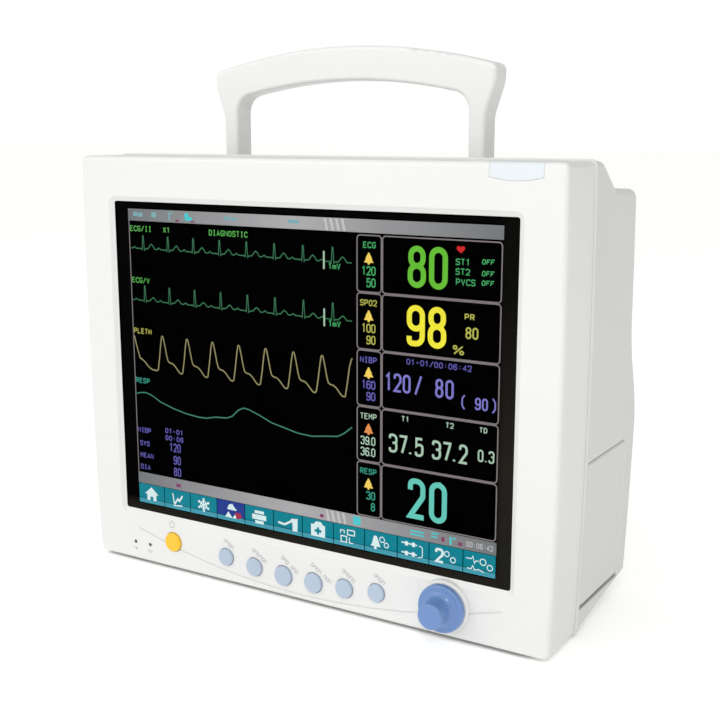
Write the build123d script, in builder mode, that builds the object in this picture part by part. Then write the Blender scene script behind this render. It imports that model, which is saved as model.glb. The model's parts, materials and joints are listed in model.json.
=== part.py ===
from build123d import *
import os
from math import sqrt

os.makedirs("parts", exist_ok=True)

# Bedside patient monitor. Millimetres, X to the right, Y to the back, Z up.
# The origin is on the table, under the middle of the whole monitor.

# Display: a 12.1-inch 4:3 panel behind a cover glass
ACTIVE_WIDTH = 245.8
ACTIVE_HEIGHT = 184.3
WINDOW_WIDTH = 264.0
WINDOW_HEIGHT = 192.0
WINDOW_RECESS = 2.0
WINDOW_FLARE = 3.0
GLASS_LAP = 4.0
GLASS_THICKNESS = 1.1
GASKET_THICKNESS = 0.4
PANEL_WIDTH = 279.0
PANEL_HEIGHT = 205.0
PANEL_THICKNESS = 9.0
FRAME_THICKNESS = 1.2
FRAME_BORDER = 30.0
MASK_LAP = 3.0
DISPLAY_Z = 131.0

# Case seen from the front
CASE_HALF_WIDTH = 157.5
CASE_TOP_HALF_WIDTH = 156.3
CASE_BASE_HALF_WIDTH = 155.0
CASE_TOP = 253.3
CASE_BASE = 2.0
CASE_TOP_CORNER_R = 3.0
CASE_BASE_CORNER_R = 4.6
FRONT_EDGE_R = 2.6
BACK_EDGE_R = 4.0
EDGE_TOLERANCE = 0.01
WALL = 3.0

# Depths, from the front of the bezel to the back of the housing
FRONT_Y = -49.5
GLASS_Y = FRONT_Y + WINDOW_RECESS
SEAM_Y = -14.5
SEAM_GAP = 0.3
SEAM_STEP = 0.1
SEAM_BEAD_RISE = 1.0
SEAM_BEAD_DEPTH = 2.4
SEAM_BEAD_CHAMFER = 0.9
INSIDE_Y = FRONT_Y + WALL
REAR_Y = 67.5
MASK_BACK_Y = GLASS_Y + GLASS_THICKNESS + GASKET_THICKNESS
FRAME_Y = MASK_BACK_Y + PANEL_THICKNESS
FRAME_BACK_Y = FRAME_Y + FRAME_THICKNESS

# Side view of the rear housing, as (y, z) corners
SHOULDER_Y = -3.7
LEDGE_FRONT_Y = 14.9
LEDGE_FRONT_Z = 239.0
LEDGE_BACK_Y = 53.5
LEDGE_BACK_Z = 237.0
LEDGE_BACK_R = 6.0
UPPER_BACK_Y = 54.0
UPPER_BACK_Z = 166.0
BULGE_Z = 99.0
HEEL_Y = 65.5
HEEL_Z = 16.5
TOE_Z = 4.3
SLOPE_SHIFT = 0.33

# Handle: an arched bar on two straight legs
HANDLE_FRONT_Y = 3.5
HANDLE_DEPTH = 15.0
HANDLE_LEG_OUT = 87.3
HANDLE_LEG_IN = 77.5
HANDLE_GRIP_HALF = 93.3
HANDLE_GRIP_CORNER_Z = 302.6
HANDLE_GRIP_TOP = 315.0
HANDLE_GRIP_HEIGHT = 19.0
HANDLE_ARCH_DROP = 3.4
HANDLE_INNER_CORNER_R = 11.0
HANDLE_TIP_R = 4.0
HANDLE_FLARE_R = 20.0
HANDLE_RIM_R = 2.2
HANDLE_FLARE_LOW_Z = 276.0
HANDLE_FLARE_HIGH_Z = 294.0
HANDLE_ROOT_Z = 230.0

# Front controls
KEY_COUNT = 6
KEY_PITCH = 20.9
KEY_ROW_X = 0.6
KEY_ROW_Z = 14.5
KEY_ARC_R = 425.0
KEY_RADII = (5.2, 5.5, 5.9, 5.9, 5.5, 5.2)
KEY_PROUD = 1.7
KEY_GAP = 0.3
KEY_EDGE_R = 0.9
POWER_EDGE_R = 1.2
COLLAR_LAP = 1.1
COLLAR_THICKNESS = 1.2
COLLAR_PLAY = 0.2
STEM_R = 2.2
STEM_END_Y = INSIDE_Y + 4.4
SWITCH_FRONT_Y = STEM_END_Y + 1.5
SWITCH_DEPTH = 3.5
SWITCH_SIZE = 6.2
SWITCH_TIP_R = 1.7
SWITCH_TIP = 0.8
BOARD_FRONT_Y = SWITCH_FRONT_Y + SWITCH_DEPTH
BOARD_THICKNESS = 1.6
KEY_BOARD_LOW = (-132.0, 6.5)
KEY_BOARD_HIGH = (116.0, 25.5)
POWER_X = -92.8
POWER_Z = 19.2
POWER_RADIUS = 6.0
KNOB_X = 95.4
KNOB_Z = 19.7
KNOB_BOSS_R = 14.8
KNOB_BOSS_HEIGHT = 2.5
KNOB_FLANGE_R = 13.4
KNOB_FLANGE_BACK_Y = -53.0
KNOB_FLANGE_FRONT_Y = -56.0
KNOB_CAP_R = 7.2
KNOB_ROOT_R = 4.2
KNOB_RIM_R = 1.4
KNOB_FRONT_Y = -67.5
KNOB_TIP_R = 1.0
KNOB_POCKET_DEPTH = 3.0
SHAFT_R = 3.0
RUNNING_GAP = 0.05
ENCODER_FRONT_Y = INSIDE_Y + 0.2
ENCODER_SIZE = 13.0
BUSH_R = 4.0
BUSH_FRONT_Y = KNOB_FLANGE_BACK_Y - 0.6
PLUNGER_R = 5.0
PLUNGER_THICKNESS = 1.4
PLUNGER_FRONT_Y = ENCODER_FRONT_Y + 1.2
PLUNGER_BACK_Y = PLUNGER_FRONT_Y + PLUNGER_THICKNESS
SHAFT_BACK_Y = PLUNGER_BACK_Y + 1.0
SHAFT_FRONT_Y = KNOB_FRONT_Y + 2.5
LED_X = (-124.2, -112.2)
LED_Z = 13.6
LED_RADIUS = 1.2
LED_FLANGE_R = 1.7
LINE_CENTRE_X = 4.0
LINE_BASE_Z = 5.6
LINE_ARC_R = 441.0
LINE_HALF_SPAN = 124.0

# Alarm light in the top front edge
ALARM_X = 130.0
ALARM_WIDTH = 28.4
ALARM_LOW_Z = 246.2
ALARM_SAG = 1.8
ALARM_DEPTH = 19.0
ALARM_WALL = 2.4
ALARM_BOARD_Y = FRONT_Y + ALARM_DEPTH + WALL
ALARM_BOARD_HALF = 12.0
ALARM_BOARD_Z0 = 240.0
ALARM_BOARD_Z1 = 249.0
ALARM_LED_Z = 247.0
ALARM_LED_R = 1.5
ALARM_LED_LENGTH = 6.0

# Battery bay and its door in the right side
DOOR_Y0 = -9.6
DOOR_Y1 = 50.2
DOOR_Z0 = 16.0
DOOR_Z1 = 97.0
DOOR_GAP = 0.4
DOOR_SILL_GAP = 1.1
DOOR_CHAMFER = 1.0
DOOR_RIB = 1.2
DOOR_RIB_INSET = 12.0
BAY_DEPTH = 4.0
BAY_SKIN_X = 155.0
SILL_RELIEF_X = 155.2
SILL_RELIEF_DEPTH = 1.2
TONGUE_WIDTH = 16.0
TONGUE_DEPTH = 5.0
TONGUE_THICKNESS = 1.6
TONGUE_DROP = 4.0
HINGE_X = 152.8
HINGE_Z = 19.3
HINGE_BARREL_R = 2.7
HINGE_PIN_R = 1.0
TRAY_X0 = 84.0
TRAY_X1 = 148.5
TRAY_LOW = (-8.0, 31.0)
TRAY_HIGH = (48.0, 94.0)
TRAY_WALL = 1.5
PACK_LENGTH = 58.0
PACK_DEPTH = 40.0
PACK_HEIGHT = 58.0

# Sensor connectors in the left side, and the recess they stand in
SENSOR_Y0 = -4.0
SENSOR_Y1 = 44.0
SENSOR_Z0 = 40.0
SENSOR_Z1 = 150.0
SENSOR_DEPTH = 9.0
SENSOR_MID_Y = 20.0
SENSOR_FLOOR_X = SENSOR_DEPTH - CASE_HALF_WIDTH
PLATE_THICKNESS = 1.2
PLATE_GAP = 1.0
SENSOR_PLATE_X = SENSOR_FLOOR_X - PLATE_THICKNESS
SOCKET_FACE_X = SENSOR_PLATE_X - 6.0
SOCKET_BACK_X = SENSOR_FLOOR_X + 10.0
SOCKET_BORE_DEPTH = 14.0
SOCKET_COLLAR = 1.6
SOCKET_EDGE_R = 0.6
ECG_Z = 132.0
SPO2_Z = 108.0
TEMP_Z = 86.0
TEMP_PITCH = 20.0
NIBP_Z = 60.0
ECG_R = 9.5
ECG_BORE_R = 7.2
ECG_CONTACT_RING_R = 5.2
SPO2_R = 8.0
SPO2_BORE_R = 6.0
SPO2_CONTACT_RING_R = 4.4
TEMP_R = 5.2
TEMP_BORE_R = 3.2
NIBP_R = 6.0
NIBP_FLANGE_R = 9.0
NIBP_BORE_R = 3.6
CONTACT_R = 0.6
CONTACT_COUNT = 6
CONTACT_LENGTH = 10.0

# Rear connectors, and the recess they stand in
REAR_X0 = -130.0
REAR_X1 = 20.0
REAR_Z0 = 32.0
REAR_Z1 = 78.0
REAR_FLOOR_Y = 50.0
REAR_MID_Z = 55.0
INLET_X = -104.0
FUSE_X = -74.0
POST_X = -50.0
LAN_X = -24.0
VIDEO_X = 3.0
REAR_PLATE_Y = REAR_FLOOR_Y + PLATE_THICKNESS
INLET_WIDTH = 27.0
INLET_HEIGHT = 20.0
INLET_BACK_DEPTH = 18.0
INLET_CAVITY_WIDTH = 24.4
INLET_CAVITY_HEIGHT = 16.6
INLET_CAVITY_DEPTH = 15.5
INLET_CAVITY_CHAMFER = 4.5
INLET_FLANGE = 2.4
INLET_FLANGE_Y = REAR_PLATE_Y + INLET_FLANGE
BLADE_PITCH = 7.0
BLADE_OFFSET_Z = 2.0
BLADE_WIDTH = 2.0
BLADE_HEIGHT = 4.0
BLADE_LENGTH = 13.0
FUSE_R = 6.0
FUSE_RIM_R = 7.2
FUSE_CAP_R = 5.4
FUSE_CAP_HEIGHT = 5.5
FUSE_SPACING = 18.0
FUSE_BACK_DEPTH = 20.0
POST_R = 3.0
POST_NUT_R = 5.5
POST_NUT_HEIGHT = 2.6
POST_LENGTH = 18.0
LAN_WIDTH = 16.0
LAN_HEIGHT = 13.4
LAN_BACK_DEPTH = 14.0
LAN_CAVITY_WIDTH = 11.7
LAN_CAVITY_HEIGHT = 8.0
VIDEO_WIDTH = 17.0
VIDEO_HEIGHT = 9.0
VIDEO_BACK_DEPTH = 8.0
VIDEO_FLANGE_WIDTH = 31.0
VIDEO_FLANGE_HEIGHT = 12.5
VIDEO_SHELL_WALL = 0.7
VIDEO_SHELL_HEIGHT = 5.0
VIDEO_CORE_GAP = 0.8
VIDEO_SCREW_SPACING = 25.0
VIDEO_SCREW_R = 2.7

# Vents, fan and speaker
VENT_X = 70.0
VENT_Z = 204.0
VENT_COUNT = 9
VENT_PITCH = 6.0
VENT_LENGTH = 40.0
VENT_WIDTH = 2.6
SPEAKER_X = 84.0
SPEAKER_Z = 58.0
SPEAKER_HOLE_R = 1.3
SPEAKER_COLUMN_PITCH = 6.0
SPEAKER_ROW_PITCH = 5.2
SPEAKER_Y = 62.0
SPEAKER_R = 19.0
SPEAKER_RIM = 4.0
SPEAKER_MAGNET_R = 12.0
SPEAKER_MAGNET = 7.0
FAN_SIZE = 50.0
FAN_DEPTH = 12.0
FAN_BLADES = 7
FAN_Y = LEDGE_BACK_Y - WALL
FAN_RADIUS = FAN_SIZE / 2 - 1.5
FAN_HUB_R = 9.0
FAN_AXLE_R = 1.5
FAN_SPOKE = 2.4
FAN_SPOKE_DEPTH = 1.6
FAN_TIP_GAP = 1.0
FAN_BLADE_ROOT = 1.5
FAN_BLADE_CHORD = 9.5
FAN_BLADE_THICKNESS = 1.2
FAN_BLADE_PITCH = 32.0
FAN_ROTOR_Y = FAN_Y - 1.0
FAN_ROTOR_DEPTH = FAN_DEPTH - 3.6

# Fixings
FOOT_X = 122.0
FRONT_FOOT_Y = -33.0
REAR_FOOT_Y = 46.0
PILLAR_LOW_X = 138.0
PILLAR_LOW_Z = 24.0
PILLAR_HIGH_X = 145.0
PILLAR_HIGH_Z = 229.0
PILLAR_R = 4.0
SCREW_R = 1.5
BASE_MOUNT_Y = 22.0
BASE_MOUNT_X_SPACING = 100.0
BASE_MOUNT_Y_SPACING = 40.0
BASE_MOUNT_Z = 3.0
INSERT_R = 3.6
INSERT_BORE_R = 2.1
INSERT_LENGTH = 10.0
BASE_BOSS_R = 7.5
TUBE_R = 5.5
SCREW_RECESS_R = 3.6
LEG_SCREW_SEAT_Z = 231.0
LEG_SCREW_R = 2.0
LEG_SCREW_LENGTH = 28.0
LIP_GAP = 0.3
LIP_THICKNESS = 2.0
LIP_DEPTH = 8.0
LIP_BACK_Y = SEAM_Y + WALL + 1.0
POCKET_WALL = 2.4
LUG_THICKNESS = 3.4
HINGE_PIN_END = 3.0
SCREW_CLEARANCE = 0.2
SCREW_LENGTH = 16.0
SCREW_HEAD = 2.4
LEG_SCREW_HEAD = 2.6
FRONT_FOOT_LENGTH = 34.0
FRONT_FOOT_WIDTH = 12.0
REAR_FOOT_R = 8.5
REAR_FOOT_TOP_R = 10.5
REAR_FOOT_HEIGHT = 20.0

# Electronics inside, with (x, z) or (y, z) corners of each board or box
CHASSIS_Y = -20.0
CHASSIS_THICKNESS = 1.2
CHASSIS_LOW = (-134.0, 36.0)
CHASSIS_HIGH = (134.0, 226.0)
CHASSIS_FLANGE_X = 133.4
CHASSIS_FLANGE_HEIGHT = 160.0
STANDOFF_X = (-60.0, 70.0)
STANDOFF_Z = (120.0, 215.0)
STANDOFF_R = 3.0
MAIN_BOARD_Y = CHASSIS_Y + 9.0 + BOARD_THICKNESS
MAIN_BOARD_LOW = (-66.0, 112.0)
MAIN_BOARD_HIGH = (76.0, 222.0)
CHIP_SPOTS = [(0.0, 170.0), (40.0, 190.0)]
CHIP_SIZE = 26.0
CHIP_HEIGHT = 2.5
HEADER_SPOTS = [(-50.0, 140.0), (-50.0, 190.0)]
HEADER_WIDTH = 8.0
HEADER_LENGTH = 34.0
HEADER_HEIGHT = 9.0
INVERTER_LOW = (-70.0, 218.0)
INVERTER_HIGH = (60.0, 236.0)
TRANSFORMER_SPOTS = [(-50.0, 227.0), (-18.0, 227.0), (40.0, 227.0)]
TRANSFORMER_WIDTH = 16.0
TRANSFORMER_HEIGHT = 12.0
TRANSFORMER_DEPTH = 7.4
PARAMETER_X = -126.0
PARAMETER_LOW = (-8.0, 44.0)
PARAMETER_HIGH = (42.0, 150.0)
PARAMETER_CHIP_SPOTS = [(10.0, 130.0), (10.0, 100.0), (26.0, 70.0)]
PARAMETER_CHIP_SIZE = 18.0
PARAMETER_CHIP_HEIGHT = 5.0
SUPPLY_Y = 24.0
SUPPLY_DEPTH = 30.0
SUPPLY_WALL = 2.0
SUPPLY_TRAY_DEPTH = 14.0
SUPPLY_LOW = (-118.0, 30.0)
SUPPLY_HIGH = (-30.0, 84.0)
SUPPLY_PART_SPOTS = [(-95.0, 50.0), (-60.0, 60.0)]
SUPPLY_PART_WIDTH = 22.0
SUPPLY_PART_HEIGHT = 26.0
PUMP_X = 20.0
PUMP_Y = 5.0
PUMP_Z = 30.0
PUMP_MOTOR_R = 12.0
PUMP_MOTOR_LENGTH = 34.0
PUMP_HEAD_LENGTH = 18.0
PUMP_HEAD_HALF = 13.0
SPOUT_R = 2.0
SPOUT_LENGTH = 7.0
VALVE_X = -20.0
VALVE_LENGTH = 28.0
VALVE_LOW = (-8.0, 18.0)
VALVE_HIGH = (12.0, 40.0)
VALVE_SPOUT = (2.0, 30.0)


def save(piece, name):
    """Labels a finished piece and writes it under its own name."""
    piece.part.label = name
    export_step(piece.part, f"parts/{name}.step")


def front_plane(y):
    """An upright plane that faces the viewer, with X and Z as its own axes."""
    return Plane(origin=(0, y, 0), x_dir=(1, 0, 0), z_dir=(0, -1, 0))


def side_plane(x):
    """An upright plane that faces right, with Y and Z as its own axes."""
    return Plane(origin=(x, 0, 0), x_dir=(0, 1, 0), z_dir=(1, 0, 0))


def circles(plane, spots, radius):
    """Equal circles at the given spots of a plane."""
    with BuildSketch(plane) as sketch:
        with Locations(*spots):
            Circle(radius)
    return sketch.sketch


def panels(plane, spots, width, height, corner=0.0):
    """Equal rectangles at the given spots of a plane, with rounded corners if asked."""
    with BuildSketch(plane) as sketch:
        with Locations(*spots):
            if corner:
                RectangleRounded(width, height, corner)
            else:
                Rectangle(width, height)
    return sketch.sketch


def span(plane, low, high, corner=0.0):
    """One rectangle given by its lowest and highest corners."""
    middle = ((low[0] + high[0]) / 2, (low[1] + high[1]) / 2)
    return panels(plane, [middle], high[0] - low[0], high[1] - low[1], corner)


def corners_at(sketch, height):
    """The corners of a sketch that lie at one height."""
    return sketch.vertices().filter_by_position(
        Axis.Y, height - EDGE_TOLERANCE, height + EDGE_TOLERANCE
    )


def case_outline(y, inset=0.0):
    """Front view of the case: level top and base, sides that bow out a little."""
    middle_z = (CASE_TOP + CASE_BASE) / 2
    with BuildSketch(front_plane(y)) as outline:
        with BuildLine():
            Line((-CASE_BASE_HALF_WIDTH, CASE_BASE), (CASE_BASE_HALF_WIDTH, CASE_BASE))
            ThreePointArc(
                (CASE_BASE_HALF_WIDTH, CASE_BASE),
                (CASE_HALF_WIDTH, middle_z),
                (CASE_TOP_HALF_WIDTH, CASE_TOP),
            )
            Line((CASE_TOP_HALF_WIDTH, CASE_TOP), (-CASE_TOP_HALF_WIDTH, CASE_TOP))
            ThreePointArc(
                (-CASE_TOP_HALF_WIDTH, CASE_TOP),
                (-CASE_HALF_WIDTH, middle_z),
                (-CASE_BASE_HALF_WIDTH, CASE_BASE),
            )
        make_face()
        fillet(corners_at(outline, CASE_BASE), CASE_BASE_CORNER_R)
        fillet(corners_at(outline, CASE_TOP), CASE_TOP_CORNER_R)
        if inset:
            offset(amount=-inset)
    return outline.sketch


def housing_profile(inset=0.0):
    """Side view of the rear housing: sloped shoulder, ledge, and a back that bulges low down."""
    slope_shift = SLOPE_SHIFT * inset
    top = CASE_TOP - SEAM_STEP - inset
    front = SEAM_Y - 3 * WALL
    with BuildSketch(side_plane(0)) as profile:
        with BuildLine():
            Polyline(
                (UPPER_BACK_Y - inset, UPPER_BACK_Z),
                (LEDGE_BACK_Y - inset, LEDGE_BACK_Z - inset),
                (LEDGE_FRONT_Y - slope_shift, LEDGE_FRONT_Z - inset),
                (SHOULDER_Y - slope_shift, top),
                (front, top),
                (front, TOE_Z + inset),
                (SEAM_Y, TOE_Z + inset),
                (HEEL_Y - inset, HEEL_Z + inset),
                (REAR_Y - inset, BULGE_Z),
            )
            Spline(
                (REAR_Y - inset, BULGE_Z),
                (UPPER_BACK_Y - inset, UPPER_BACK_Z),
                tangents=[(0.05, 1), (-0.007, 1)],
            )
        make_face()
        fillet(corners_at(profile, LEDGE_BACK_Z - inset), LEDGE_BACK_R - inset)
    return profile.sketch


def housing_form(inset=0.0, front=SEAM_Y + SEAM_GAP):
    """The rear housing as a solid block, or its cavity when inset is the wall."""
    with BuildPart() as form:
        extrude(case_outline(front, SEAM_STEP + inset), amount=front - REAR_Y - WALL)
        extrude(housing_profile(inset), amount=CASE_HALF_WIDTH, both=True, mode=Mode.INTERSECT)
        rim = form.edges().filter_by_position(Axis.Y, LEDGE_BACK_Y - inset - 1, REAR_Y + 1)
        fillet(rim, BACK_EDGE_R - inset / 2)
    return form.part


def seam_bead():
    """The raised bead round the front edge of the rear housing."""
    front = SEAM_Y + SEAM_GAP
    with BuildPart() as bead:
        extrude(case_outline(front, -SEAM_BEAD_RISE), amount=-SEAM_BEAD_DEPTH)
        chamfer(bead.faces().sort_by(Axis.Y)[0].edges(), SEAM_BEAD_CHAMFER)
        extrude(case_outline(front, WALL / 2), amount=-SEAM_BEAD_DEPTH, mode=Mode.SUBTRACT)
    return bead.part


def bezel_form(inset=0.0):
    """The bezel's outer form with its rounded front edge, or a smaller copy of it."""
    with BuildPart() as form:
        extrude(case_outline(SEAM_Y, inset), amount=SEAM_Y - FRONT_Y - inset)
        fillet(form.faces().sort_by(Axis.Y)[0].edges(), FRONT_EDGE_R - inset / 2)
    return form.part


def alarm_region(gap=0.0):
    """The bite that the alarm lens takes out of the bezel's top front edge."""
    half = ALARM_WIDTH / 2 + gap
    low = ALARM_LOW_Z - gap
    with BuildPart() as region:
        with BuildSketch(front_plane(FRONT_Y + ALARM_DEPTH + gap)):
            with BuildLine():
                Polyline(
                    (ALARM_X - half, low),
                    (ALARM_X - half, CASE_TOP + 1),
                    (ALARM_X + half, CASE_TOP + 1),
                    (ALARM_X + half, low),
                )
                ThreePointArc(
                    (ALARM_X + half, low), (ALARM_X, low - ALARM_SAG), (ALARM_X - half, low)
                )
            make_face()
        extrude(amount=ALARM_DEPTH + 2 * gap + 1)
    return region.part


def window_flare():
    """The sloping surround of the window, wider at the bezel's face than at the glass."""
    with BuildPart() as flare:
        for y, spread in ((GLASS_Y, 0.0), (FRONT_Y, 2 * WINDOW_FLARE)):
            with BuildSketch(front_plane(y)):
                with Locations((0, DISPLAY_Z)):
                    RectangleRounded(WINDOW_WIDTH + spread, WINDOW_HEIGHT + spread, 1.5 + spread / 2)
        loft()
    return flare.part


def key_place(index):
    """Centre of a front key, on the shallow arc that the row follows."""
    across = (index - (KEY_COUNT - 1) / 2) * KEY_PITCH
    rise = KEY_ARC_R - sqrt(KEY_ARC_R**2 - across**2)
    return KEY_ROW_X + across, KEY_ROW_Z + rise


PILLARS = [
    (side * x, z)
    for side in (-1, 1)
    for x, z in ((PILLAR_LOW_X, PILLAR_LOW_Z), (PILLAR_HIGH_X, PILLAR_HIGH_Z))
]
PILLAR_END_Y = SEAM_Y + 6.0
SCREW_SEAT_Y = PILLAR_END_Y + 5.0
KEY_SPOTS = [key_place(index) for index in range(KEY_COUNT)]


# Front bezel: frame round the display, holes for the controls, pillars for the screws
with BuildPart() as front_bezel:
    add(bezel_form())
    extrude(case_outline(SEAM_Y, WALL), amount=SEAM_Y - INSIDE_Y, mode=Mode.SUBTRACT)
    extrude(circles(front_plane(INSIDE_Y), PILLARS, PILLAR_R), amount=INSIDE_Y - PILLAR_END_Y)
    extrude(
        circles(front_plane(PILLAR_END_Y), PILLARS, SCREW_R), amount=14, mode=Mode.SUBTRACT
    )
    extrude(
        panels(front_plane(INSIDE_Y), [(0, DISPLAY_Z)], WINDOW_WIDTH, WINDOW_HEIGHT, 1.5),
        amount=WALL,
        mode=Mode.SUBTRACT,
    )
    add(window_flare(), mode=Mode.SUBTRACT)
    extrude(
        panels(
            front_plane(INSIDE_Y),
            [(0, DISPLAY_Z)],
            WINDOW_WIDTH + 2 * GLASS_LAP,
            WINDOW_HEIGHT + 2 * GLASS_LAP,
        ),
        amount=INSIDE_Y - GLASS_Y,
        mode=Mode.SUBTRACT,
    )
    extrude(circles(front_plane(FRONT_Y), [(KNOB_X, KNOB_Z)], KNOB_BOSS_R), amount=KNOB_BOSS_HEIGHT)
    boss_rim = front_bezel.faces().sort_by(Axis.Y)[0].outer_wire().edges()
    fillet(boss_rim, 1.6)
    extrude(
        circles(front_plane(INSIDE_Y), [(KNOB_X, KNOB_Z)], SHAFT_R + 1.5),
        amount=WALL + KNOB_BOSS_HEIGHT,
        mode=Mode.SUBTRACT,
    )
    for spot, radius in zip(KEY_SPOTS, KEY_RADII):
        extrude(
            circles(front_plane(INSIDE_Y), [spot], radius + KEY_GAP),
            amount=WALL,
            mode=Mode.SUBTRACT,
        )
    extrude(
        circles(front_plane(INSIDE_Y), [(POWER_X, POWER_Z)], POWER_RADIUS + KEY_GAP),
        amount=WALL,
        mode=Mode.SUBTRACT,
    )
    extrude(
        circles(front_plane(INSIDE_Y), [(x, LED_Z) for x in LED_X], LED_RADIUS),
        amount=WALL,
        mode=Mode.SUBTRACT,
    )
    line_rise = LINE_ARC_R - sqrt(LINE_ARC_R**2 - LINE_HALF_SPAN**2)
    with BuildSketch(front_plane(FRONT_Y)):
        with BuildLine():
            ThreePointArc(
                (LINE_CENTRE_X - LINE_HALF_SPAN, LINE_BASE_Z + line_rise),
                (LINE_CENTRE_X, LINE_BASE_Z),
                (LINE_CENTRE_X + LINE_HALF_SPAN, LINE_BASE_Z + line_rise),
            )
        trace(line_width=0.9)
    extrude(amount=-0.45, mode=Mode.SUBTRACT)
    add(alarm_region(0.15), mode=Mode.SUBTRACT)
save(front_bezel, "front_bezel")

# Alarm lens: a clear shell that carries on the bezel's rounded edge
with BuildPart() as alarm_lens:
    add(bezel_form())
    add(alarm_region(), mode=Mode.INTERSECT)
    add(bezel_form(ALARM_WALL), mode=Mode.SUBTRACT)
save(alarm_lens, "alarm_lens")

# Rear housing: shell with recesses for the connectors, a battery bay, vents and screw tubes
leg_spots = [
    (side * (HANDLE_LEG_OUT + HANDLE_LEG_IN) / 2, HANDLE_FRONT_Y + HANDLE_DEPTH / 2)
    for side in (-1, 1)
]
base_spots = [
    (x * BASE_MOUNT_X_SPACING / 2, BASE_MOUNT_Y + y * BASE_MOUNT_Y_SPACING / 2)
    for x in (-1, 1)
    for y in (-1, 1)
]
vent_spots = [
    (side * VENT_X + (index - (VENT_COUNT - 1) / 2) * VENT_PITCH, VENT_Z)
    for side in (-1, 1)
    for index in range(VENT_COUNT)
]
speaker_spots = [
    (
        SPEAKER_X + (column + (row % 2) / 2) * SPEAKER_COLUMN_PITCH,
        SPEAKER_Z + (row - 2) * SPEAKER_ROW_PITCH,
    )
    for row in range(5)
    for column in range(-2, 3 - row % 2)
]

# Ring that centres the housing in the bezel
with BuildPart() as lip:
    extrude(case_outline(LIP_BACK_Y, WALL + LIP_GAP), amount=LIP_DEPTH)
    extrude(
        case_outline(LIP_BACK_Y, WALL + LIP_GAP + LIP_THICKNESS),
        amount=LIP_DEPTH,
        mode=Mode.SUBTRACT,
    )

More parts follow.
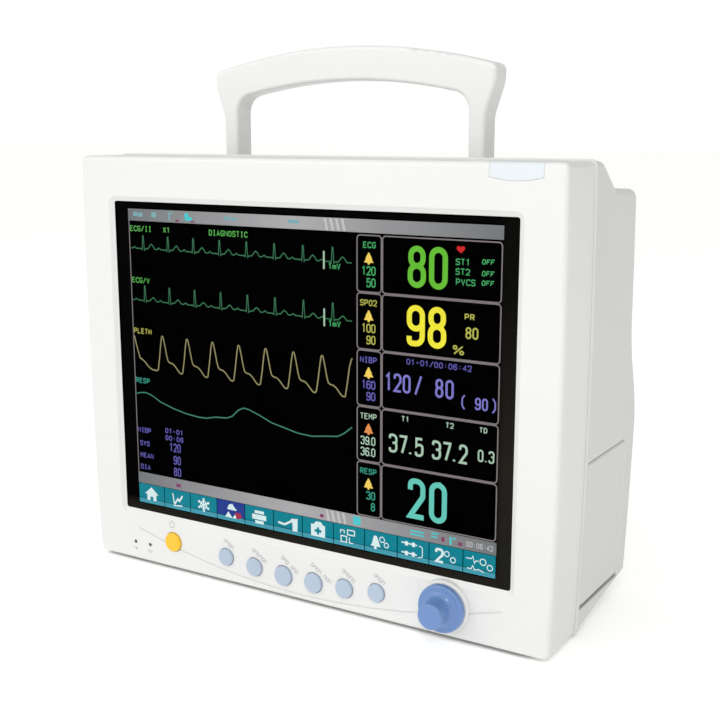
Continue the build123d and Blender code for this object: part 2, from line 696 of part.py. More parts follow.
with BuildPart() as rear_housing:
    add(housing_form())
    add(housing_form(WALL, SEAM_Y - WALL), mode=Mode.SUBTRACT)
    # Opening of the battery bay, with its bevelled rim
    extrude(
        span(side_plane(HINGE_X - BAY_DEPTH), (DOOR_Y0, DOOR_Z0), (DOOR_Y1, DOOR_Z1)),
        amount=4 * BAY_DEPTH,
        mode=Mode.SUBTRACT,
    )
    bay_rim = (
        rear_housing.edges()
        .filter_by_position(Axis.X, BAY_SKIN_X, CASE_HALF_WIDTH)
        .filter_by_position(Axis.Y, DOOR_Y0 - EDGE_TOLERANCE, DOOR_Y1 + EDGE_TOLERANCE)
        .filter_by_position(Axis.Z, DOOR_Z0 - EDGE_TOLERANCE, DOOR_Z1 + EDGE_TOLERANCE)
    )
    chamfer(bay_rim, DOOR_CHAMFER)
    # Bosses under the handle's legs and round the mounting inserts
    extrude(circles(Plane.XY.offset(LEG_SCREW_SEAT_Z), leg_spots, TUBE_R), amount=LEG_SCREW_LENGTH)
    extrude(
        circles(Plane.XY.offset(BASE_MOUNT_Z), base_spots, BASE_BOSS_R),
        amount=INSERT_LENGTH + BASE_MOUNT_Z,
    )
    # Screw tubes
    extrude(circles(front_plane(PILLAR_END_Y), PILLARS, TUBE_R), amount=PILLAR_END_Y - REAR_Y)
    # Blocks that the two connector recesses are cut from
    extrude(
        span(
            front_plane(REAR_FLOOR_Y - POCKET_WALL),
            (REAR_X0 - POCKET_WALL, REAR_Z0 - POCKET_WALL),
            (REAR_X1 + POCKET_WALL, REAR_Z1 + POCKET_WALL),
            4.0,
        ),
        amount=REAR_FLOOR_Y - POCKET_WALL - REAR_Y,
    )
    extrude(
        span(
            side_plane(SENSOR_FLOOR_X + POCKET_WALL),
            (SENSOR_Y0 - POCKET_WALL, SENSOR_Z0 - POCKET_WALL),
            (SENSOR_Y1 + POCKET_WALL, SENSOR_Z1 + POCKET_WALL),
            5.0,
        ),
        amount=-(SENSOR_DEPTH + POCKET_WALL),
    )
    # Lugs for the door's hinge pin
    for y, thickness in ((DOOR_Y0, LUG_THICKNESS), (DOOR_Y1, -LUG_THICKNESS)):
        extrude(
            span(
                front_plane(y),
                (HINGE_X - BAY_DEPTH, HINGE_Z - 6),
                (BAY_SKIN_X, HINGE_Z + 4),
            ),
            amount=thickness,
        )
    add(housing_form(), mode=Mode.INTERSECT)
    # Bead at the seam, lip inside the bezel, and the lower ends of the mounting bosses
    add(seam_bead())
    add(lip.part)
    extrude(circles(Plane.XY.offset(BASE_MOUNT_Z), base_spots, BASE_BOSS_R), amount=INSERT_LENGTH)
    # Recesses and the plate openings in their floors
    extrude(
        span(front_plane(REAR_FLOOR_Y), (REAR_X0, REAR_Z0), (REAR_X1, REAR_Z1), 3.0),
        amount=REAR_FLOOR_Y - REAR_Y - 1,
        mode=Mode.SUBTRACT,
    )
    extrude(
        span(
            front_plane(REAR_FLOOR_Y - POCKET_WALL),
            (REAR_X0 + 6, REAR_Z0 + 5),
            (REAR_X1 - 6, REAR_Z1 - 5),
        ),
        amount=-POCKET_WALL,
        mode=Mode.SUBTRACT,
    )
    extrude(
        span(
            side_plane(SENSOR_FLOOR_X), (SENSOR_Y0, SENSOR_Z0), (SENSOR_Y1, SENSOR_Z1), 4.0
        ),
        amount=-(SENSOR_DEPTH + 1),
        mode=Mode.SUBTRACT,
    )
    extrude(
        span(
            side_plane(SENSOR_FLOOR_X),
            (SENSOR_Y0 + 6, SENSOR_Z0 + 6),
            (SENSOR_Y1 - 6, SENSOR_Z1 - 6),
        ),
        amount=POCKET_WALL,
        mode=Mode.SUBTRACT,
    )
    # Relief behind the door sill, and the hole for the hinge pin
    extrude(
        span(
            side_plane(HINGE_X - BAY_DEPTH),
            (DOOR_Y0, DOOR_Z0 - SILL_RELIEF_DEPTH),
            (DOOR_Y1, DOOR_Z0),
        ),
        amount=SILL_RELIEF_X - HINGE_X + BAY_DEPTH,
        mode=Mode.SUBTRACT,
    )
    extrude(
        circles(front_plane(DOOR_Y1 + HINGE_PIN_END), [(HINGE_X, HINGE_Z)], HINGE_PIN_R),
        amount=DOOR_Y1 - DOOR_Y0 + 2 * HINGE_PIN_END,
        mode=Mode.SUBTRACT,
    )
    # Screw recesses and screw holes
    extrude(
        circles(front_plane(SCREW_SEAT_Y), PILLARS, SCREW_RECESS_R),
        amount=SCREW_SEAT_Y - REAR_Y,
        mode=Mode.SUBTRACT,
    )
    extrude(
        circles(front_plane(SCREW_SEAT_Y), PILLARS, SCREW_R + SCREW_CLEARANCE),
        amount=SCREW_SEAT_Y - PILLAR_END_Y,
        mode=Mode.SUBTRACT,
    )
    extrude(
        circles(Plane.XY.offset(LEG_SCREW_SEAT_Z), leg_spots, LEG_SCREW_R + SCREW_CLEARANCE),
        amount=LEG_SCREW_LENGTH,
        mode=Mode.SUBTRACT,
    )
    extrude(
        circles(Plane.XY.offset(BASE_MOUNT_Z), base_spots, INSERT_R),
        amount=INSERT_LENGTH,
        mode=Mode.SUBTRACT,
    )
    # Vent slots and the speaker's holes
    with BuildSketch(front_plane(LEDGE_BACK_Y - 2 * WALL)) as slots:
        with Locations(*vent_spots):
            SlotOverall(VENT_LENGTH, VENT_WIDTH, rotation=90)
    extrude(slots.sketch, amount=-4 * WALL, mode=Mode.SUBTRACT)
    extrude(
        circles(front_plane(HEEL_Y - 2 * WALL), speaker_spots, SPEAKER_HOLE_R),
        amount=-5 * WALL,
        mode=Mode.SUBTRACT,
    )
save(rear_housing, "rear_housing")

# Handle: one arched bar with straight legs that stand on the sloped shoulder
with BuildPart() as handle:
    inner_low_z = HANDLE_GRIP_CORNER_Z - HANDLE_GRIP_HEIGHT + HANDLE_ARCH_DROP
    inner_top_z = HANDLE_GRIP_TOP - HANDLE_GRIP_HEIGHT
    with BuildSketch(front_plane(HANDLE_FRONT_Y + HANDLE_DEPTH)) as handle_shape:
        with BuildLine():
            Polyline(
                (-HANDLE_GRIP_HALF, HANDLE_GRIP_CORNER_Z),
                (-HANDLE_GRIP_HALF, HANDLE_FLARE_HIGH_Z),
                (-HANDLE_LEG_OUT, HANDLE_FLARE_LOW_Z),
                (-HANDLE_LEG_OUT, HANDLE_ROOT_Z),
                (-HANDLE_LEG_IN, HANDLE_ROOT_Z),
                (-HANDLE_LEG_IN, inner_low_z),
            )
            ThreePointArc(
                (-HANDLE_LEG_IN, inner_low_z), (0, inner_top_z), (HANDLE_LEG_IN, inner_low_z)
            )
            Polyline(
                (HANDLE_LEG_IN, inner_low_z),
                (HANDLE_LEG_IN, HANDLE_ROOT_Z),
                (HANDLE_LEG_OUT, HANDLE_ROOT_Z),
                (HANDLE_LEG_OUT, HANDLE_FLARE_LOW_Z),
                (HANDLE_GRIP_HALF, HANDLE_FLARE_HIGH_Z),
                (HANDLE_GRIP_HALF, HANDLE_GRIP_CORNER_Z),
            )
            ThreePointArc(
                (HANDLE_GRIP_HALF, HANDLE_GRIP_CORNER_Z),
                (0, HANDLE_GRIP_TOP),
                (-HANDLE_GRIP_HALF, HANDLE_GRIP_CORNER_Z),
            )
        make_face()
        fillet(corners_at(handle_shape, HANDLE_FLARE_LOW_Z), HANDLE_FLARE_R)
        fillet(corners_at(handle_shape, HANDLE_FLARE_HIGH_Z), HANDLE_FLARE_R)
        fillet(corners_at(handle_shape, inner_low_z), HANDLE_INNER_CORNER_R)
        fillet(corners_at(handle_shape, HANDLE_GRIP_CORNER_Z), HANDLE_TIP_R)
    extrude(amount=HANDLE_DEPTH)
    rims = handle.faces().sort_by(Axis.Y)
    fillet(rims[0].edges() + rims[-1].edges(), HANDLE_RIM_R)
    add(housing_form(), mode=Mode.SUBTRACT)
    extrude(
        circles(Plane.XY.offset(LEG_SCREW_SEAT_Z), leg_spots, LEG_SCREW_R),
        amount=LEG_SCREW_LENGTH,
        mode=Mode.SUBTRACT,
    )
save(handle, "handle")

# Bay door: a piece of the side wall on a barrel hinge along its lower edge
door_low = (DOOR_Y0 + DOOR_GAP, DOOR_Z0 + DOOR_SILL_GAP)
door_high = (DOOR_Y1 - DOOR_GAP, DOOR_Z1 - DOOR_GAP)
middle_y = (DOOR_Y0 + DOOR_Y1) / 2
tongue_x = CASE_HALF_WIDTH - WALL - TONGUE_DEPTH

with BuildPart() as bay_door:
    extrude(span(side_plane(HINGE_X + 0.2), door_low, door_high, 1.5), amount=20)
    add(housing_form(), mode=Mode.INTERSECT)
    chamfer(bay_door.faces().sort_by(Axis.X)[-1].edges(), DOOR_CHAMFER)
    add(housing_form(WALL - 0.4), mode=Mode.SUBTRACT)
    extrude(
        circles(front_plane(door_high[0]), [(HINGE_X, HINGE_Z)], HINGE_BARREL_R),
        amount=door_high[0] - door_low[0],
    )
    extrude(
        panels(
            side_plane(tongue_x), [(middle_y, DOOR_Z1 - TONGUE_DROP)], TONGUE_WIDTH, TONGUE_THICKNESS
        ),
        amount=TONGUE_DEPTH + 1,
    )
    for y in (DOOR_Y0 + DOOR_RIB_INSET, DOOR_Y1 - DOOR_RIB_INSET):
        extrude(
            span(
                side_plane(tongue_x + 2),
                (y, DOOR_Z0 + DOOR_RIB_INSET),
                (y + DOOR_RIB, DOOR_Z1 - DOOR_RIB_INSET),
            ),
            amount=TONGUE_DEPTH - 1,
        )
    extrude(
        circles(front_plane(DOOR_Y1), [(HINGE_X, HINGE_Z)], HINGE_PIN_R + RUNNING_GAP),
        amount=DOOR_Y1 - DOOR_Y0,
        mode=Mode.SUBTRACT,
    )
save(bay_door, "bay_door")

with BuildPart() as bay_door_pin:
    extrude(
        circles(front_plane(DOOR_Y1 + HINGE_PIN_END), [(HINGE_X, HINGE_Z)], HINGE_PIN_R),
        amount=DOOR_Y1 - DOOR_Y0 + 2 * HINGE_PIN_END,
    )
save(bay_door_pin, "bay_door_pin")

# Battery pack in its tray, behind the door
with BuildPart() as battery_tray:
    extrude(span(side_plane(TRAY_X0), TRAY_LOW, TRAY_HIGH), amount=TRAY_X1 - TRAY_X0)
    extrude(
        span(
            side_plane(TRAY_X0 + TRAY_WALL),
            (TRAY_LOW[0] + TRAY_WALL, TRAY_LOW[1] + TRAY_WALL),
            (TRAY_HIGH[0] - TRAY_WALL, TRAY_HIGH[1] - TRAY_WALL),
        ),
        amount=TRAY_X1,
        mode=Mode.SUBTRACT,
    )
save(battery_tray, "battery_tray")

with BuildPart() as battery_pack:
    pack_z = TRAY_LOW[1] + TRAY_WALL + PACK_HEIGHT / 2
    extrude(
        panels(side_plane(TRAY_X0 + TRAY_WALL), [(middle_y, pack_z)], PACK_DEPTH, PACK_HEIGHT, 3.0),
        amount=PACK_LENGTH,
    )
    fillet(battery_pack.faces().sort_by(Axis.X)[-1].edges(), 1.5)
save(battery_pack, "battery_pack")

# Display stack: cover glass, printed mask, LCD module and its steel frame
with BuildPart() as display_glass:
    extrude(
        panels(
            front_plane(GLASS_Y + GLASS_THICKNESS),
            [(0, DISPLAY_Z)],
            WINDOW_WIDTH + 2 * GLASS_LAP - 0.6,
            WINDOW_HEIGHT + 2 * GLASS_LAP - 0.6,
        ),
        amount=GLASS_THICKNESS,
    )
save(display_glass, "display_glass")

with BuildPart() as display_mask:
    extrude(
        panels(
            front_plane(MASK_BACK_Y),
            [(0, DISPLAY_Z)],
            WINDOW_WIDTH + 2 * MASK_LAP,
            WINDOW_HEIGHT + 2 * MASK_LAP,
        ),
        amount=GASKET_THICKNESS,
    )
    extrude(
        panels(
            front_plane(MASK_BACK_Y), [(0, DISPLAY_Z)], ACTIVE_WIDTH + 0.4, ACTIVE_HEIGHT + 0.4
        ),
        amount=GASKET_THICKNESS,
        mode=Mode.SUBTRACT,
    )
save(display_mask, "display_mask")

with BuildPart() as lcd_panel:
    extrude(
        panels(front_plane(FRAME_Y), [(0, DISPLAY_Z)], PANEL_WIDTH, PANEL_HEIGHT, 1.0),
        amount=PANEL_THICKNESS,
    )
save(lcd_panel, "lcd_panel")

with BuildPart() as lcd_frame:
    extrude(
        panels(front_plane(FRAME_BACK_Y), [(0, DISPLAY_Z)], PANEL_WIDTH, PANEL_HEIGHT),
        amount=FRAME_THICKNESS,
    )
    extrude(
        panels(
            front_plane(FRAME_BACK_Y),
            [(0, DISPLAY_Z)],
            PANEL_WIDTH - 2 * FRAME_BORDER,
            PANEL_HEIGHT - 2 * FRAME_BORDER,
            8,
        ),
        amount=FRAME_THICKNESS,
        mode=Mode.SUBTRACT,
    )
save(lcd_frame, "lcd_frame")

with BuildPart() as backlight_inverter:
    extrude(
        span(front_plane(FRAME_BACK_Y + BOARD_THICKNESS), INVERTER_LOW, INVERTER_HIGH),
        amount=BOARD_THICKNESS,
    )
    extrude(
        panels(
            front_plane(FRAME_BACK_Y + BOARD_THICKNESS + TRANSFORMER_DEPTH),
            TRANSFORMER_SPOTS,
            TRANSFORMER_WIDTH,
            TRANSFORMER_HEIGHT,
            1.0,
        ),
        amount=TRANSFORMER_DEPTH,
    )
save(backlight_inverter, "backlight_inverter")


# Front keys: a domed cap, a collar behind the wall and a stem that meets its switch
def push_key(spot, radius, proud, edge):
    """A round key that slides in its hole, with the collar that keeps it in."""
    collar_back = INSIDE_Y + COLLAR_PLAY + COLLAR_THICKNESS
    with BuildPart() as key:
        extrude(
            circles(front_plane(collar_back), [spot], radius), amount=collar_back - FRONT_Y + proud
        )
        fillet(key.faces().sort_by(Axis.Y)[0].edges(), edge)
        extrude(
            circles(front_plane(collar_back), [spot], radius + COLLAR_LAP), amount=COLLAR_THICKNESS
        )
        extrude(circles(front_plane(STEM_END_Y), [spot], STEM_R), amount=STEM_END_Y - collar_back)
    return key


for index in range(KEY_COUNT):
    key = push_key(KEY_SPOTS[index], KEY_RADII[index], KEY_PROUD, KEY_EDGE_R)
    save(key, f"key_{index + 1}")
power_button = push_key((POWER_X, POWER_Z), POWER_RADIUS, KEY_PROUD, POWER_EDGE_R)
save(power_button, "power_button")

switch_spots = KEY_SPOTS + [(POWER_X, POWER_Z)]

with BuildPart() as key_switches:
    extrude(
        panels(front_plane(BOARD_FRONT_Y), switch_spots, SWITCH_SIZE, SWITCH_SIZE, 0.5),
        amount=SWITCH_DEPTH - SWITCH_TIP,
    )
    extrude(
        circles(front_plane(SWITCH_FRONT_Y + SWITCH_TIP), switch_spots, SWITCH_TIP_R),
        amount=SWITCH_TIP,
    )
save(key_switches, "key_switches")

with BuildPart() as key_board:
    extrude(
        span(front_plane(BOARD_FRONT_Y + BOARD_THICKNESS), KEY_BOARD_LOW, KEY_BOARD_HIGH, 1.0),
        amount=BOARD_THICKNESS,
    )
save(key_board, "key_board")

with BuildPart() as status_lights:
    light_spots = [(x, LED_Z) for x in LED_X]
    extrude(
        circles(front_plane(INSIDE_Y + 1), light_spots, LED_RADIUS), amount=INSIDE_Y + 1 - FRONT_Y
    )
    extrude(
        circles(front_plane(BOARD_FRONT_Y), light_spots, LED_FLANGE_R),
        amount=BOARD_FRONT_Y - INSIDE_Y,
    )
save(status_lights, "status_lights")

# Rotary encoder: fixed body, plunger that is pushed, shaft that turns in it, and the knob
knob_spot = [(KNOB_X, KNOB_Z)]

with BuildPart() as encoder_body:
    extrude(
        panels(front_plane(BOARD_FRONT_Y), knob_spot, ENCODER_SIZE, ENCODER_SIZE, 0.8),
        amount=BOARD_FRONT_Y - ENCODER_FRONT_Y,
    )
    extrude(
        circles(front_plane(ENCODER_FRONT_Y), knob_spot, BUSH_R), amount=ENCODER_FRONT_Y - BUSH_FRONT_Y
    )
    extrude(
        circles(front_plane(BOARD_FRONT_Y - 1), knob_spot, PLUNGER_R + 0.4),
        amount=BOARD_FRONT_Y - 1 - PLUNGER_FRONT_Y + 0.2,
        mode=Mode.SUBTRACT,
    )
    extrude(
        circles(front_plane(BOARD_FRONT_Y), knob_spot, SHAFT_R + RUNNING_GAP),
        amount=BOARD_FRONT_Y - BUSH_FRONT_Y,
        mode=Mode.SUBTRACT,
    )
save(encoder_body, "encoder_body")

with BuildPart() as encoder_plunger:
    extrude(
        circles(front_plane(PLUNGER_BACK_Y), knob_spot, PLUNGER_R),
        amount=PLUNGER_THICKNESS,
    )
    extrude(
        circles(front_plane(PLUNGER_BACK_Y), knob_spot, SHAFT_R + RUNNING_GAP),
        amount=PLUNGER_THICKNESS,
        mode=Mode.SUBTRACT,
    )
save(encoder_plunger, "encoder_plunger")

with BuildPart() as encoder_shaft:
    extrude(
        circles(front_plane(SHAFT_BACK_Y), knob_spot, SHAFT_R), amount=SHAFT_BACK_Y - SHAFT_FRONT_Y
    )
save(encoder_shaft, "encoder_shaft")

with BuildPart() as knob:
    extrude(
        circles(front_plane(KNOB_FLANGE_BACK_Y), knob_spot, KNOB_FLANGE_R),
        amount=KNOB_FLANGE_BACK_Y - KNOB_FLANGE_FRONT_Y,
    )
    fillet(knob.faces().sort_by(Axis.Y)[0].edges(), KNOB_RIM_R)
    extrude(
        circles(front_plane(KNOB_FLANGE_FRONT_Y), knob_spot, KNOB_CAP_R),
        amount=KNOB_FLANGE_FRONT_Y - KNOB_FRONT_Y,
    )
    fillet(knob.faces().sort_by(Axis.Y)[0].edges(), KNOB_TIP_R)
    root_edge = knob.edges().filter_by(GeomType.CIRCLE).filter_by_position(
        Axis.Y, KNOB_FLANGE_FRONT_Y - EDGE_TOLERANCE, KNOB_FLANGE_FRONT_Y + EDGE_TOLERANCE
    ).sort_by(SortBy.RADIUS)[0]
    fillet(root_edge, KNOB_ROOT_R)
    extrude(
        circles(front_plane(KNOB_FLANGE_BACK_Y), knob_spot, BUSH_R + 0.8),
        amount=KNOB_POCKET_DEPTH,
        mode=Mode.SUBTRACT,
    )
    extrude(
        circles(front_plane(KNOB_FLANGE_BACK_Y), knob_spot, SHAFT_R),
        amount=KNOB_FLANGE_BACK_Y - SHAFT_FRONT_Y,
        mode=Mode.SUBTRACT,
    )
save(knob, "knob")

# Alarm light board behind its lens
with BuildPart() as alarm_board:
    alarm_leds = [(ALARM_X + side * ALARM_BOARD_HALF / 2, ALARM_LED_Z) for side in (-1, 1)]
    extrude(
        span(
            front_plane(ALARM_BOARD_Y),
            (ALARM_X - ALARM_BOARD_HALF, ALARM_BOARD_Z0),
            (ALARM_X + ALARM_BOARD_HALF, ALARM_BOARD_Z1),
        ),
        amount=BOARD_THICKNESS,
    )
    extrude(
        circles(front_plane(ALARM_BOARD_Y - BOARD_THICKNESS), alarm_leds, ALARM_LED_R),
        amount=ALARM_LED_LENGTH,
    )
save(alarm_board, "alarm_board")

# Rear connectors on their steel plate
video_screws = [(VIDEO_X + side * VIDEO_SCREW_SPACING / 2, REAR_MID_Z) for side in (-1, 1)]
fuse_spots = [(FUSE_X, REAR_MID_Z + side * FUSE_SPACING / 2) for side in (-1, 1)]
inlet_spot = [(INLET_X, REAR_MID_Z)]
lan_spot = [(LAN_X, REAR_MID_Z)]
video_spot = [(VIDEO_X, REAR_MID_Z)]
post_spot = [(POST_X, REAR_MID_Z)]

with BuildPart() as rear_panel:
    extrude(
        span(
            front_plane(REAR_FLOOR_Y),
            (REAR_X0 + PLATE_GAP, REAR_Z0 + PLATE_GAP),
            (REAR_X1 - PLATE_GAP, REAR_Z1 - PLATE_GAP),
            3.0,
        ),
        amount=-PLATE_THICKNESS,
    )
    extrude(
        panels(front_plane(REAR_FLOOR_Y), inlet_spot, INLET_WIDTH, INLET_HEIGHT),
        amount=-PLATE_THICKNESS,
        mode=Mode.SUBTRACT,
    )
    extrude(
        circles(front_plane(REAR_FLOOR_Y), fuse_spots, FUSE_R),
        amount=-PLATE_THICKNESS,
        mode=Mode.SUBTRACT,
    )
    extrude(
        circles(front_plane(REAR_FLOOR_Y), post_spot, POST_R),
        amount=-PLATE_THICKNESS,
        mode=Mode.SUBTRACT,
    )
    extrude(
        panels(front_plane(REAR_FLOOR_Y), lan_spot, LAN_WIDTH, LAN_HEIGHT),
        amount=-PLATE_THICKNESS,
        mode=Mode.SUBTRACT,
    )
    extrude(
        panels(front_plane(REAR_FLOOR_Y), video_spot, VIDEO_WIDTH, VIDEO_HEIGHT),
        amount=-PLATE_THICKNESS,
        mode=Mode.SUBTRACT,
    )
save(rear_panel, "rear_panel")

with BuildPart() as mains_inlet:
    extrude(
        panels(front_plane(REAR_PLATE_Y), inlet_spot, INLET_WIDTH + 4, INLET_HEIGHT + 4, 2.0),
        amount=-INLET_FLANGE,
    )
    extrude(
        panels(
            front_plane(REAR_PLATE_Y - INLET_BACK_DEPTH), inlet_spot, INLET_WIDTH, INLET_HEIGHT
        ),
        amount=-INLET_BACK_DEPTH,
    )
    with BuildSketch(front_plane(INLET_FLANGE_Y)) as inlet_mouth:
        with Locations(*inlet_spot):
            Rectangle(INLET_CAVITY_WIDTH, INLET_CAVITY_HEIGHT)
        chamfer(inlet_mouth.vertices().group_by(Axis.Y)[-1], INLET_CAVITY_CHAMFER)
        fillet(inlet_mouth.vertices().group_by(Axis.Y)[0], 1.0)
    extrude(inlet_mouth.sketch, amount=INLET_CAVITY_DEPTH, mode=Mode.SUBTRACT)
save(mains_inlet, "mains_inlet")

with BuildPart() as inlet_blades:
    blade_spots = [
        (INLET_X - BLADE_PITCH, REAR_MID_Z - BLADE_OFFSET_Z),
        (INLET_X, REAR_MID_Z + BLADE_OFFSET_Z),
        (INLET_X + BLADE_PITCH, REAR_MID_Z - BLADE_OFFSET_Z),
    ]
    blade_root = front_plane(INLET_FLANGE_Y - INLET_CAVITY_DEPTH)
    extrude(panels(blade_root, blade_spots, BLADE_WIDTH, BLADE_HEIGHT, 0.4), amount=-BLADE_LENGTH)
save(inlet_blades, "inlet_blades")

with BuildPart() as fuse_holders:
    extrude(
        circles(front_plane(REAR_PLATE_Y - FUSE_BACK_DEPTH), fuse_spots, FUSE_R),
        amount=-FUSE_BACK_DEPTH,
    )
    extrude(circles(front_plane(REAR_PLATE_Y), fuse_spots, FUSE_RIM_R), amount=-1.5)
    extrude(
        circles(front_plane(REAR_PLATE_Y + 1.5), fuse_spots, FUSE_CAP_R), amount=-FUSE_CAP_HEIGHT
    )
    extrude(
        panels(front_plane(REAR_PLATE_Y + FUSE_CAP_HEIGHT), fuse_spots, 7.5, 1.2),
        amount=-2,
        mode=Mode.SUBTRACT,
    )
save(fuse_holders, "fuse_holders")

with BuildPart() as equipotential_post:
    extrude(circles(front_plane(REAR_PLATE_Y - 6), post_spot, POST_R), amount=-POST_LENGTH)
    with BuildSketch(front_plane(REAR_PLATE_Y)):
        with Locations(*post_spot):
            RegularPolygon(POST_NUT_R, 6)
    extrude(amount=-POST_NUT_HEIGHT)
    fillet(equipotential_post.faces().sort_by(Axis.Y)[-1].edges(), 0.8)
save(equipotential_post, "equipotential_post")

with BuildPart() as lan_port:
    extrude(
        panels(front_plane(REAR_PLATE_Y - LAN_BACK_DEPTH), lan_spot, LAN_WIDTH, LAN_HEIGHT),
        amount=-(LAN_BACK_DEPTH + PLATE_THICKNESS),
    )
    extrude(
        panels(front_plane(REAR_PLATE_Y - 11), lan_spot, LAN_CAVITY_WIDTH, LAN_CAVITY_HEIGHT),
        amount=-LAN_BACK_DEPTH,
        mode=Mode.SUBTRACT,
    )
save(lan_port, "lan_port")

with BuildPart() as video_port:
    shell_plane = front_plane(REAR_PLATE_Y + 1)
    shell_bore_width = VIDEO_WIDTH - 2 * VIDEO_SHELL_WALL
    shell_bore_height = VIDEO_HEIGHT - 2 * VIDEO_SHELL_WALL
    core_width = shell_bore_width - 2 * VIDEO_CORE_GAP
    core_height = shell_bore_height - 2 * VIDEO_CORE_GAP
    extrude(
        panels(
            front_plane(REAR_PLATE_Y - VIDEO_BACK_DEPTH), video_spot, VIDEO_WIDTH, VIDEO_HEIGHT, 2.4
        ),
        amount=-VIDEO_BACK_DEPTH,
    )
    extrude(
        panels(
            front_plane(REAR_PLATE_Y), video_spot, VIDEO_FLANGE_WIDTH, VIDEO_FLANGE_HEIGHT, 1.5
        ),
        amount=-1.0,
    )
    extrude(
        panels(shell_plane, video_spot, VIDEO_WIDTH, VIDEO_HEIGHT, 3.0), amount=-VIDEO_SHELL_HEIGHT
    )
    extrude(
        panels(
            front_plane(REAR_PLATE_Y + 2), video_spot, shell_bore_width, shell_bore_height, 2.4
        ),
        amount=-VIDEO_SHELL_HEIGHT,
        mode=Mode.SUBTRACT,
    )
    extrude(panels(shell_plane, video_spot, core_width, core_height, 1.8), amount=-4.4)
    with BuildSketch(shell_plane):
        with Locations(*video_screws):
            RegularPolygon(VIDEO_SCREW_R, 6)
    extrude(amount=-4.4)
save(video_port, "video_port")

# Sensor connectors on their plate in the left side
ecg_spot = [(SENSOR_MID_Y, ECG_Z)]
spo2_spot = [(SENSOR_MID_Y, SPO2_Z)]
temp_spots = [(SENSOR_MID_Y + side * TEMP_PITCH / 2, TEMP_Z) for side in (-1, 1)]
nibp_spot = [(SENSOR_MID_Y, NIBP_Z)]


def socket_barrel(spots, outer, bore, collar):
    """Round sockets that stand out of the sensor plate, open to the left."""
    with BuildPart() as socket:
        extrude(
            circles(side_plane(SOCKET_FACE_X), spots, outer),
            amount=SOCKET_BACK_X - SOCKET_FACE_X,
        )
        extrude(
            circles(side_plane(SENSOR_PLATE_X - SOCKET_COLLAR), spots, collar),
            amount=SOCKET_COLLAR,
        )
        fillet(socket.faces().sort_by(Axis.X)[0].edges(), SOCKET_EDGE_R)
        extrude(
            circles(side_plane(SOCKET_FACE_X), spots, bore),
            amount=SOCKET_BORE_DEPTH,
            mode=Mode.SUBTRACT,
        )
    return socket


with BuildPart() as sensor_panel:
    extrude(
        span(
            side_plane(SENSOR_PLATE_X),
            (SENSOR_Y0 + PLATE_GAP, SENSOR_Z0 + PLATE_GAP),
            (SENSOR_Y1 - PLATE_GAP, SENSOR_Z1 - PLATE_GAP),
            3.0,
        ),
        amount=PLATE_THICKNESS,
    )
    for spots, radius in (
        (ecg_spot, ECG_R),
        (spo2_spot, SPO2_R),
        (temp_spots, TEMP_R),
        (nibp_spot, NIBP_R),
    ):
        extrude(
            circles(side_plane(SENSOR_PLATE_X), spots, radius),
            amount=PLATE_THICKNESS,
            mode=Mode.SUBTRACT,
        )
save(sensor_panel, "sensor_panel")

ecg_socket = socket_barrel(ecg_spot, ECG_R, ECG_BORE_R, ECG_R + 1.5)
save(ecg_socket, "ecg_socket")
spo2_socket = socket_barrel(spo2_spot, SPO2_R, SPO2_BORE_R, SPO2_R + 1.5)
save(spo2_socket, "spo2_socket")
temp_sockets = socket_barrel(temp_spots, TEMP_R, TEMP_BORE_R, TEMP_R + 1.2)
save(temp_sockets, "temp_sockets")
nibp_fitting = socket_barrel(nibp_spot, NIBP_R, NIBP_BORE_R, NIBP_FLANGE_R)
save(nibp_fitting, "nibp_fitting")

with BuildPart() as socket_contacts:
    contact_base = side_plane(SOCKET_FACE_X + SOCKET_BORE_DEPTH)
    for centre, ring in ((ecg_spot[0], ECG_CONTACT_RING_R), (spo2_spot[0], SPO2_CONTACT_RING_R)):
        with BuildSketch(contact_base):
            with Locations(centre):
                with PolarLocations(ring, CONTACT_COUNT):
                    Circle(CONTACT_R)
        extrude(amount=-CONTACT_LENGTH)
save(socket_contacts, "socket_contacts")

# Electronics inside
standoff_spots = [(x, z) for x in STANDOFF_X for z in STANDOFF_Z]
chassis_back = CHASSIS_Y + CHASSIS_THICKNESS

with BuildPart() as chassis:
    extrude(
        span(front_plane(chassis_back), CHASSIS_LOW, CHASSIS_HIGH, 4), amount=CHASSIS_THICKNESS
    )
    extrude(
        panels(
            front_plane(CHASSIS_Y),
            [(side * CHASSIS_FLANGE_X, DISPLAY_Z) for side in (-1, 1)],
            CHASSIS_THICKNESS,
            CHASSIS_FLANGE_HEIGHT,
        ),
        amount=CHASSIS_Y - FRAME_BACK_Y,
    )
save(chassis, "chassis")

with BuildPart() as standoffs:
    board_face = MAIN_BOARD_Y - BOARD_THICKNESS
    extrude(
        circles(front_plane(board_face), standoff_spots, STANDOFF_R),
        amount=board_face - chassis_back,
    )
save(standoffs, "standoffs")

with BuildPart() as main_board:
    extrude(
        span(front_plane(MAIN_BOARD_Y), MAIN_BOARD_LOW, MAIN_BOARD_HIGH, 2), amount=BOARD_THICKNESS
    )
    extrude(
        panels(front_plane(MAIN_BOARD_Y + CHIP_HEIGHT), CHIP_SPOTS, CHIP_SIZE, CHIP_SIZE, 1),
        amount=CHIP_HEIGHT,
    )
    extrude(
        panels(
            front_plane(MAIN_BOARD_Y + HEADER_HEIGHT), HEADER_SPOTS, HEADER_WIDTH, HEADER_LENGTH
        ),
        amount=HEADER_HEIGHT,
    )
save(main_board, "main_board")

